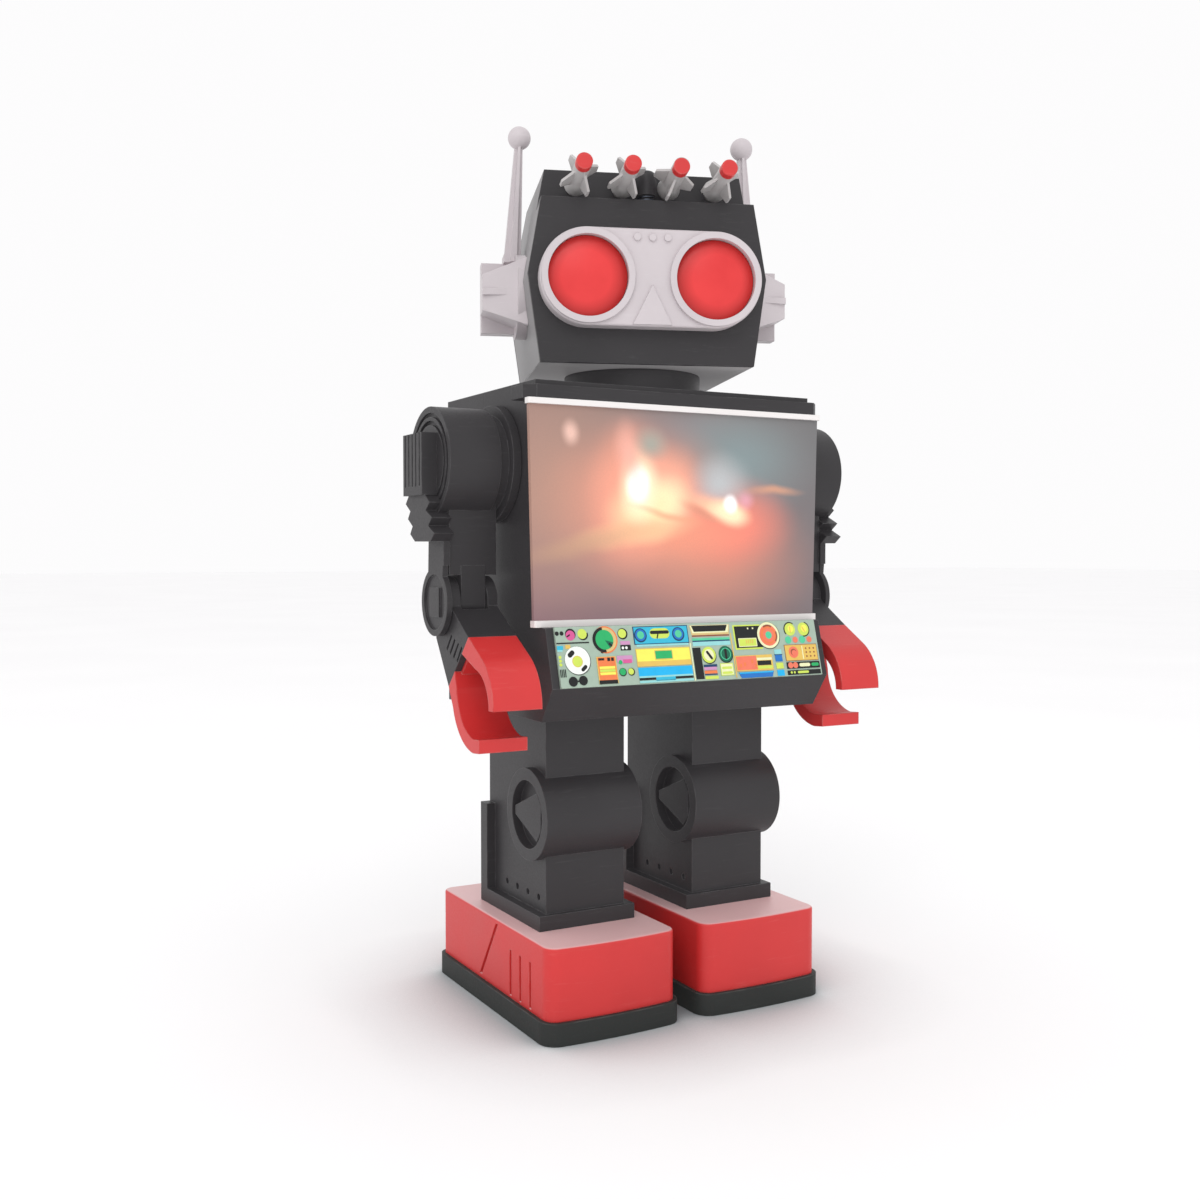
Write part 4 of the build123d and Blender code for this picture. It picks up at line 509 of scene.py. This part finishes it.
def cross_screws(name, places, radius, body, slot, finish):
    """Cross-recessed screw heads facing the back, each left at its own angle."""
    repeat = Repeat(name, {
        "Radius": ("Float", radius), "Thickness": ("Float", SCREW_THICK), "Seed": ("Int", 7),
        "Finish": ("Material", finish)})
    radius_in, thick = repeat.given("Radius"), repeat.given("Thickness")
    head = repeat.add("GeometryNodeMeshCylinder", {"Vertices": 36, "Radius": radius_in,
                                                   "Depth": thick})
    long = repeat.math("MULTIPLY", radius_in, 1.3)
    thin = repeat.math("MULTIPLY", radius_in, 0.28)
    up = repeat.vector(0.0, 0.0, repeat.math("MULTIPLY", thick, 0.75))
    cuts = []
    for size in ((long, thin), (thin, long)):
        cube = repeat.add("GeometryNodeMeshCube", {"Size": repeat.vector(*size, thick)})
        cuts.append(repeat.add("GeometryNodeTransform", {"Geometry": cube.outputs[0],
                                                         "Translation": up}))
    cross = repeat.add("GeometryNodeMeshBoolean", {"Mesh 2": cuts[0].outputs[0]},
                       operation="UNION", solver="EXACT")
    repeat.tree.links.new(cuts[1].outputs[0], cross.inputs["Mesh 2"])
    cut = repeat.add("GeometryNodeMeshBoolean", {"Mesh 1": head.outputs["Mesh"],
                                                 "Mesh 2": cross.outputs[0]},
                     operation="DIFFERENCE", solver="EXACT")
    spin = repeat.add("FunctionNodeRandomValue", {
        2: 0.0, 3: pi / 2, "Seed": repeat.given("Seed")}, data_type="FLOAT")
    facing = repeat.vector(-pi / 2, spin.outputs[1], 0.0)
    heads = repeat.add("GeometryNodeInstanceOnPoints", {
        "Points": repeat.given("Places"), "Instance": cut.outputs[0], "Rotation": facing})
    return repeat.finish(heads.outputs[0], body, slot, places)


def case_screw_heads():
    """A head on each of the four screws at the corners of the back shell."""
    low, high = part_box("case_screws")
    back = high.y + SCREW_EASE
    places = [Vector((x, back, z)) for x in (low.x + SCREW_RADIUS, high.x - SCREW_RADIUS)
              for z in (low.z + SCREW_RADIUS, high.z - SCREW_RADIUS)]
    cross_screws("case_screw_heads", places, SCREW_RADIUS - SCREW_EASE, "torso", "steel_turned",
                 STEEL)


RIB_COUNT = 36
RIB_WIDTH = 12.0 * MM
RIB_HEIGHT = 0.5 * MM


def roller_ribs():
    """Grip ribs across each roller's tread."""
    for side in ("left", "right"):
        low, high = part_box("foot_roller_" + side)
        middle = (low + high) / 2
        radius = (high.z - low.z) / 2
        repeat = Repeat("roller_ribs_" + side, {
            "Count": ("Int", RIB_COUNT), "Radius": ("Float", radius),
            "Width": ("Float", RIB_WIDTH), "Height": ("Float", RIB_HEIGHT),
            "Middle": ("Vector", middle), "Finish": ("Material", RUBBER)})
        rib = repeat.add("GeometryNodeMeshCube", {
            "Size": repeat.vector(repeat.given("Width"), repeat.given("Height"),
                                  repeat.given("Height"))})
        raised = repeat.add("GeometryNodeTransform", {
            "Geometry": rib.outputs[0],
            "Translation": repeat.vector(0.0, 0.0, repeat.given("Radius"))})
        points = repeat.add("GeometryNodeMeshLine", {"Count": repeat.given("Count"),
                                                     "Offset": (0.0, 0.0, 0.0)})
        step = repeat.math("DIVIDE", 2 * pi, repeat.given("Count"))
        index = repeat.add("GeometryNodeInputIndex").outputs[0]
        turned = repeat.add("GeometryNodeInstanceOnPoints", {
            "Points": points.outputs[0], "Instance": raised.outputs[0],
            "Rotation": repeat.vector(repeat.math("MULTIPLY", index, step), 0.0, 0.0)})
        moved = repeat.add("GeometryNodeTransform", {"Geometry": turned.outputs[0],
                                                     "Translation": repeat.given("Middle")})
        repeat.finish(moved.outputs[0], "roller_" + side, "roller_rubber")


# ---------- the printed control panel ----------

INKS = {
    "black": rgb(28, 30, 30), "green": rgb(44, 176, 104), "dark_green": rgb(22, 104, 78),
    "lime": rgb(206, 226, 96), "yellow": rgb(244, 240, 100), "gold": rgb(226, 190, 96),
    "cream": rgb(236, 238, 190), "orange": rgb(236, 128, 76), "salmon": rgb(238, 124, 98),
    "pink": rgb(214, 92, 150), "lilac": rgb(204, 148, 190), "cyan": rgb(58, 184, 214),
    "sky": rgb(34, 180, 236), "pale_blue": rgb(150, 214, 214), "blue": rgb(40, 116, 196),
    "navy": rgb(28, 66, 104), "white": rgb(240, 246, 240), "brown": rgb(150, 84, 60),
    "mint": rgb(86, 204, 156), "tan": rgb(216, 190, 128),
}
INK_LIFT = 0.05 * MM        # height of the first layer of ink above the sheet
INK_STEP = 0.035 * MM       # each further layer
INK_ROOT = 0.02 * MM        # how far a print reaches into the sheet
SHEET_THICK = 1.0 * MM
SHEET_STEEPEST = 0.6        # radians from upright
SLOPE_ROUNDS = 20           # enough for the sheet's slope to settle


class Panel:
    """Prints drawn in mm from the panel's upper left corner, u to the right and v down."""

    def __init__(self):
        low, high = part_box("control_panel")
        drop = high.z - low.z
        lean = high.y - low.y
        # The box holds the slanted sheet: solve its slope from the box and the thickness.
        slope = 0.0
        for _ in range(SLOPE_ROUNDS):
            slope = (lean - SHEET_THICK * cos(slope)) / (drop - SHEET_THICK * sin(slope))
            slope = min(SHEET_STEEPEST, slope)
        self.right = Vector((1, 0, 0))
        self.down = Vector((0, -sin(slope), -cos(slope)))
        self.out = Vector((0, -cos(slope), sin(slope)))
        self.corner = Vector((low.x, high.y - SHEET_THICK * cos(slope), high.z))
        self.names = list(INKS)
        self.mesh = bmesh.new()

    def point(self, u, v, lift):
        return self.corner + self.right * (u * MM) + self.down * (v * MM) + self.out * lift

    def shape(self, ink, points, layer=0):
        """A patch of ink with a printed thickness."""
        top = INK_LIFT + INK_STEP * layer
        upper = [self.mesh.verts.new(self.point(u, v, top)) for u, v in points]
        lower = [self.mesh.verts.new(self.point(u, v, -INK_ROOT)) for u, v in points]
        faces = [self.mesh.faces.new(upper), self.mesh.faces.new(lower[::-1])]
        count = len(points)
        for number in range(count):
            following = (number + 1) % count
            faces.append(self.mesh.faces.new((upper[number], lower[number],
                                              lower[following], upper[following])))
        for face in faces:
            face.material_index = self.names.index(ink)

    def box(self, ink, left, top, right, bottom, layer=0):
        self.shape(ink, [(left, top), (right, top), (right, bottom), (left, bottom)], layer)

    def disc(self, ink, u, v, radius, layer=0, start=0, stop=360):
        steps = max(8, int((stop - start) / 12))
        whole = stop - start >= 360
        count = steps if whole else steps + 1
        points = []
        for number in range(count):
            angle = radians(start + (stop - start) * number / steps)
            points.append((u + radius * cos(angle), v - radius * sin(angle)))
        if not whole:
            points.append((u, v))
        self.shape(ink, points, layer)

    def slot(self, ink, u, v, length, width, turn, layer=0):
        """A bar with round ends, turned by so many degrees."""
        points = []
        for side in (0, 180):
            for step in range(7):
                angle = radians(side - 90 + 30 * step)
                along = (length - width) / 2 * (1 if side == 0 else -1)
                along += width / 2 * cos(angle)
                over = width / 2 * sin(angle)
                spin = radians(turn)
                points.append((u + along * cos(spin) + over * sin(spin),
                               v - along * sin(spin) + over * cos(spin)))
        self.shape(ink, points, layer)


def print_left_end(panel):
    for u in (0.7, 2.5):
        panel.disc("black", u, 2.2, 0.75)
    panel.disc("black", 5.8, 2.6, 2.0)
    panel.disc("pink", 5.7, 3.0, 1.75, 1)
    panel.slot("black", 4.9, 3.1, 1.6, 0.5, 30, 2)
    panel.disc("black", 10.6, 2.8, 2.0, 0, 200, 380)
    panel.disc("lime", 10.3, 2.6, 1.75, 1)
    panel.box("black", 0.1, 5.4, 12.6, 5.85)
    panel.box("cyan", 0.1, 6.5, 2.4, 7.9)
    panel.box("pale_blue", 0.1, 7.9, 2.0, 8.5, 1)
    panel.box("gold", 3.3, 6.2, 5.2, 7.6)
    panel.disc("black", 7.4, 11.8, 5.0)
    panel.disc("white", 7.3, 11.7, 4.85, 1)
    panel.disc("gold", 7.2, 12.1, 2.0, 2)
    panel.disc("lime", 7.2, 12.1, 1.8, 3)
    panel.slot("black", 5.1, 9.4, 3.0, 1.7, 40, 2)
    panel.slot("black", 9.5, 14.5, 2.8, 1.3, 40, 2)
    for v in (10.4, 11.7, 13.0):
        panel.disc("lime", 0.8, v, 0.55)
    for number in range(4):
        panel.box("black", 0.2 + 0.62 * number, 14.6, 0.5 + 0.62 * number, 17.3)
    panel.disc("black", 4.7, 18.9, 1.7)
    panel.disc("black", 8.6, 18.7, 1.65)
    panel.box("black", 5.6, 18.6, 7.8, 19.1, 1)


def print_radar(panel):
    panel.disc("orange", 19.1, 4.9, 4.8)
    panel.disc("tan", 19.1, 4.9, 4.3, 1)
    panel.disc("black", 18.6, 4.9, 4.5, 2, 95, 275)
    panel.disc("green", 18.7, 4.9, 3.5, 3)
    panel.disc("dark_green", 18.9, 5.1, 3.2, 4, -60, -15)
    panel.slot("black", 20.8, 6.7, 1.6, 0.7, -40, 5)
    panel.disc("black", 17.3, 9.0, 0.6)
    panel.disc("black", 26.2, 3.0, 2.0)
    panel.disc("lime", 26.0, 2.9, 1.6, 1)
    panel.box("lilac", 24.9, 5.6, 28.7, 6.9)
    panel.box("black", 24.7, 7.0, 28.8, 8.9)
    for u in (25.6, 27.0):
        panel.disc("white", u, 8.0, 0.5, 1)
    panel.box("gold", 14.6, 10.8, 22.2, 20.3)
    panel.box("orange", 15.0, 11.0, 21.9, 19.0, 1)
    panel.box("black", 15.3, 11.3, 17.6, 12.1, 2)
    for u in (18.8, 20.3):
        panel.box("black", u, 11.2, u + 1.1, 12.4, 2)
    for number, ink in enumerate(("yellow", "lime", "yellow")):
        panel.box(ink, 15.4, 14.2 + 1.05 * number, 21.5, 15.1 + 1.05 * number, 2)
    panel.box("black", 14.7, 19.0, 21.9, 20.3, 2)
    panel.box("lilac", 22.7, 10.7, 28.9, 13.1)
    panel.box("pink", 25.0, 12.1, 28.4, 13.4, 1)
    panel.disc("green", 23.9, 13.0, 0.75, 1)
    panel.disc("black", 24.4, 16.5, 1.45)
    panel.disc("green", 24.3, 16.4, 1.2, 1)
    panel.disc("black", 27.8, 16.5, 1.35)
    panel.disc("lime", 27.6, 16.4, 1.1, 1)


def print_recorder(panel):
    panel.box("navy", 30.4, 0.6, 53.1, 7.1)
    panel.box("cyan", 30.8, 0.9, 52.8, 6.8, 1)
    for u in (33.3, 48.9):
        panel.disc("navy", u, 3.8, 2.55, 2)
        panel.disc("blue", u, 3.7, 2.1, 3)
        panel.disc("mint", u, 3.7, 1.4, 4)
    panel.slot("lime", 41.2, 3.3, 8.2, 3.7, 0, 2)
    panel.slot("black", 41.2, 2.9, 7.8, 1.2, 0, 3)
    panel.slot("black", 40.2, 4.2, 2.0, 0.5, 70, 3)
    panel.box("pale_blue", 31.2, 7.1, 52.6, 7.8)
    panel.box("gold", 30.5, 8.5, 52.9, 14.9)
    panel.box("yellow", 30.8, 8.8, 52.6, 13.1, 1)
    panel.box("gold", 38.0, 9.3, 45.4, 12.8, 2)
    panel.box("green", 38.3, 9.6, 45.1, 12.4, 3)
    panel.box("sky", 30.6, 15.3, 52.8, 18.3)
    panel.box("pale_blue", 30.6, 18.3, 52.8, 18.9)
    panel.box("black", 30.6, 18.9, 37.3, 19.7)
    panel.box("black", 45.3, 18.9, 52.8, 19.7)
    panel.box("cyan", 37.3, 18.9, 45.3, 20.2)
    panel.box("pale_blue", 30.6, 19.9, 52.8, 20.7)


def print_tuner(panel):
    panel.box("cream", 53.2, 7.2, 53.6, 20.8)
    panel.shape("tan", [(54.0, 0.8), (71.2, 0.8), (70.6, 4.4), (54.6, 4.4)])
    panel.shape("cream", [(54.3, 0.9), (70.9, 0.9), (70.3, 3.7), (54.9, 3.7)], 1)
    panel.shape("black", [(54.8, 1.0), (70.2, 1.0), (69.2, 3.2), (55.6, 3.2)], 2)
    panel.box("brown", 54.6, 4.5, 70.6, 5.0)
    panel.box("mint", 54.5, 5.6, 70.6, 6.4)
    panel.box("navy", 54.5, 6.4, 70.6, 6.9)
    panel.box("pale_blue", 54.5, 6.9, 70.6, 8.4)
    panel.box("black", 54.0, 9.0, 57.4, 20.4)
    panel.disc("black", 60.7, 12.0, 3.1)
    panel.disc("lime", 60.6, 11.8, 2.95, 1)
    panel.disc("cream", 60.6, 11.8, 2.1, 2)
    panel.slot("black", 60.8, 11.9, 3.8, 1.0, -55, 3)
    panel.disc("black", 68.0, 11.9, 3.1)
    panel.disc("dark_green", 67.9, 11.7, 2.95, 1)
    panel.disc("mint", 67.9, 11.7, 2.2, 2)
    panel.disc("dark_green", 67.9, 11.7, 1.9, 3)
    panel.slot("black", 67.9, 11.7, 4.0, 1.0, 90, 4)
    panel.box("navy", 57.8, 15.3, 63.5, 16.2)
    panel.box("lilac", 57.8, 16.2, 63.2, 17.3)
    panel.box("orange", 57.8, 17.5, 63.2, 18.6)
    panel.box("navy", 57.8, 18.7, 63.2, 19.1)
    panel.box("lime", 57.8, 19.5, 63.4, 20.6)
    panel.box("lime", 64.8, 15.1, 70.4, 19.6)
    panel.box("cream", 65.1, 15.4, 70.1, 19.3, 1)
    for v in (16.4, 18.2):
        panel.slot("lime", 67.6, v + 0.4, 4.4, 0.9, 0, 2)
    panel.box("gold", 71.1, 4.0, 71.5, 20.6)


def print_scope(panel):
    panel.box("lime", 72.6, 1.2, 84.8, 10.4)
    panel.box("black", 73.2, 1.7, 84.8, 9.8, 1)
    for u in (79.2, 81.4):
        panel.box("cream", u - 0.3, 2.3, u + 0.3, 2.9, 2)
    panel.box("cream", 74.3, 6.2, 82.4, 9.4, 2)
    panel.box("lime", 74.6, 6.5, 82.1, 9.1, 3)
    for number in range(4):
        panel.box("gold", 77.6 + 0.9 * number, 6.9, 78.0 + 0.9 * number, 8.2, 4)
    panel.disc("black", 88.1, 5.5, 5.1, 2)
    panel.disc("cream", 88.0, 5.4, 4.95, 3)
    panel.disc("salmon", 88.0, 5.4, 4.0, 4)
    panel.disc("brown", 88.0, 5.4, 4.0, 5, 60, 120)
    panel.disc("brown", 88.0, 5.4, 4.0, 5, -40, 20)
    panel.disc("orange", 88.0, 5.4, 3.3, 6)
    panel.disc("salmon", 88.0, 5.4, 2.6, 7)
    panel.disc("mint", 88.0, 5.4, 1.4, 8)
    panel.box("gold", 71.8, 12.6, 88.2, 18.4)
    panel.box("salmon", 72.1, 12.9, 81.0, 18.0, 1)
    for u, v in ((73.4, 15.6), (75.2, 15.2), (78.6, 14.2), (80.0, 16.0)):
        panel.box("orange", u, v, u + 0.9, v + 1.4, 2)
    panel.box("cream", 81.2, 13.7, 87.9, 14.6, 1)
    panel.box("black", 81.3, 14.8, 87.4, 16.5, 1)
    panel.box("lime", 81.3, 16.7, 87.8, 17.8, 1)
    panel.shape("blue", [(72.4, 18.8), (88.0, 18.8), (87.2, 20.9), (73.4, 20.9)])
    panel.shape("sky", [(72.6, 18.8), (87.8, 18.8), (87.6, 19.3), (72.8, 19.3)], 1)
    for ink, top, bottom in (("pale_blue", 10.9, 12.7), ("blue", 13.0, 15.4), ("lime", 15.9, 18.1),
                             ("sky", 18.6, 20.8)):
        panel.box(ink, 89.6, top, 92.8, bottom)
    panel.box("navy", 89.4, 12.7, 93.0, 13.0, 1)


def print_right_end(panel):
    for u, radius, turn in ((98.3, 2.4, 90), (104.5, 2.5, -60)):
        panel.disc("black", u, 3.5, radius + 0.45, 0, turn - 40, turn + 130)
        panel.disc("lime", u, 3.5, radius, 1)
        panel.disc("yellow", u + 0.3, 3.3, radius - 1.1, 2)
        panel.slot("gold", u, 3.6, 2.4, 0.35, turn, 3)
    for number, ink in enumerate(("mint", "salmon", "mint", "salmon")):
        panel.disc(ink, 96.8 + 3.25 * number, 7.5, 1.4 if ink == "mint" else 1.15)
    panel.box("brown", 94.4, 9.3, 109.4, 15.5)
    panel.box("gold", 94.6, 9.5, 109.2, 15.3, 1)
    panel.disc("salmon", 98.3, 12.2, 2.2, 2)
    panel.disc("brown", 98.3, 12.2, 1.3, 3)
    panel.disc("salmon", 98.5, 12.5, 1.1, 4)
    panel.box("cream", 102.3, 9.9, 102.7, 14.9, 2)
    for column in range(3):
        for row in range(3):
            panel.disc("brown", 104.2 + 1.8 * column, 10.9 + 1.5 * row, 0.35, 2)
    panel.box("black", 94.3, 15.9, 109.6, 18.4)
    for u in (96.1, 98.3):
        panel.disc("salmon", u, 17.1, 1.15, 1)
    panel.slot("cream", 102.6, 17.1, 5.0, 1.3, 0, 1)
    panel.slot("green", 107.4, 17.1, 3.4, 1.2, 0, 1)
    panel.box("black", 94.3, 19.0, 109.6, 20.7)
    for u in (96.0, 97.4):
        panel.disc("lime", u, 19.8, 0.45, 1)
    panel.slot("lime", 101.4, 19.8, 5.2, 0.9, 0, 1)


def control_panel_print():
    panel = Panel()
    print_left_end(panel)
    print_radar(panel)
    print_recorder(panel)
    print_tuner(panel)
    print_scope(panel)
    print_right_end(panel)
    inks = [printed("ink_" + name, colour) for name, colour in INKS.items()]
    piece("control_panel_print", panel.mesh, "torso", inks, smooth=False)


# ---------- studio ----------

FLOOR_HALF = 12.0
PAINTED_SHADOW_REACH = 0.06        # how far from a foot the painted shadow on the floor reaches
SKY_STRENGTH = 0.98
KEY_PLACE = (-0.9, -1.3, 1.5)
KEY_SIDE = 1.2
KEY_WATTS = 9


def studio_floor():
    finish = Finish("studio_floor")
    clouds = finish.spread(finish.noise(3, 2), 0.3, 0.7)
    tint = finish.mix(clouds, (0.965, 0.962, 0.966, 1), (0.985, 0.982, 0.985, 1))
    # Painted shadow: ambient occlusion darkens the floor's colour near the feet towards grey-blue
    painted_shadow_ao = finish.add("ShaderNodeAmbientOcclusion", {"Distance": PAINTED_SHADOW_REACH}, samples=12)
    tint = finish.mix(finish.spread(painted_shadow_ao.outputs["AO"], 0.4, 1.0), (0.3, 0.33, 0.345, 1), tint)
    finish.set(Base_Color=tint, Roughness=0.9)
    finish.set(Specular_IOR_Level=0.1)
    grid = bmesh.new()
    bmesh.ops.create_grid(grid, x_segments=8, y_segments=8, size=FLOOR_HALF)
    mesh = bpy.data.meshes.new("studio_floor")
    grid.to_mesh(mesh)
    grid.free()
    mesh.materials.append(finish.material)
    floor = bpy.data.objects.new("studio_floor", mesh)
    bpy.context.scene.collection.objects.link(floor)


def softbox(name, place, aim, side, watts):
    light = bpy.data.lights.new(name, "AREA")
    light.shape = "SQUARE"
    light.size = side
    light.energy = watts
    lamp = bpy.data.objects.new(name, light)
    bpy.context.scene.collection.objects.link(lamp)
    lamp.location = place
    lamp.rotation_euler = (Vector(aim) - Vector(place)).to_track_quat("-Z", "Y").to_euler()


def studio_light():
    world = bpy.data.worlds.new("studio_sky")
    bpy.context.scene.world = world
    world.use_nodes = True
    sky = world.node_tree.nodes["Background"]
    sky.inputs["Color"].default_value = (1.0, 0.995, 1.0, 1)
    sky.inputs["Strength"].default_value = SKY_STRENGTH
    middle = (cad_low + cad_high) / 2
    softbox("key_softbox", KEY_PLACE, middle, KEY_SIDE, KEY_WATTS)
    bpy.context.scene.view_settings.view_transform = "Standard"


CAMERA_AZIMUTH = -28.89
CAMERA_ELEVATION = 2.0
CAMERA_DISTANCE = 0.527
AIM_BEHIND_NECK = 0.02544
AIM_HEIGHT = 0.14984
CAMERA_LENS = 39.13


def studio_camera():
    aim = Vector((NECK.x, NECK.y + AIM_BEHIND_NECK, AIM_HEIGHT))
    turn, rise = radians(CAMERA_AZIMUTH), radians(CAMERA_ELEVATION)
    back = Vector((sin(turn) * cos(rise), -cos(turn) * cos(rise), sin(rise)))
    camera = bpy.data.cameras.new("studio_camera")
    camera.lens = CAMERA_LENS
    camera.clip_start = 0.01
    holder = bpy.data.objects.new("studio_camera", camera)
    bpy.context.scene.collection.objects.link(holder)
    holder.location = aim + back * CAMERA_DISTANCE
    holder.rotation_euler = (-back).to_track_quat("-Z", "Y").to_euler()
    bpy.context.scene.camera = holder


studio_floor()
studio_light()
studio_camera()
finish_nodes()
control_panel_print()
rocket_noses()
case_screw_heads()
roller_ribs()
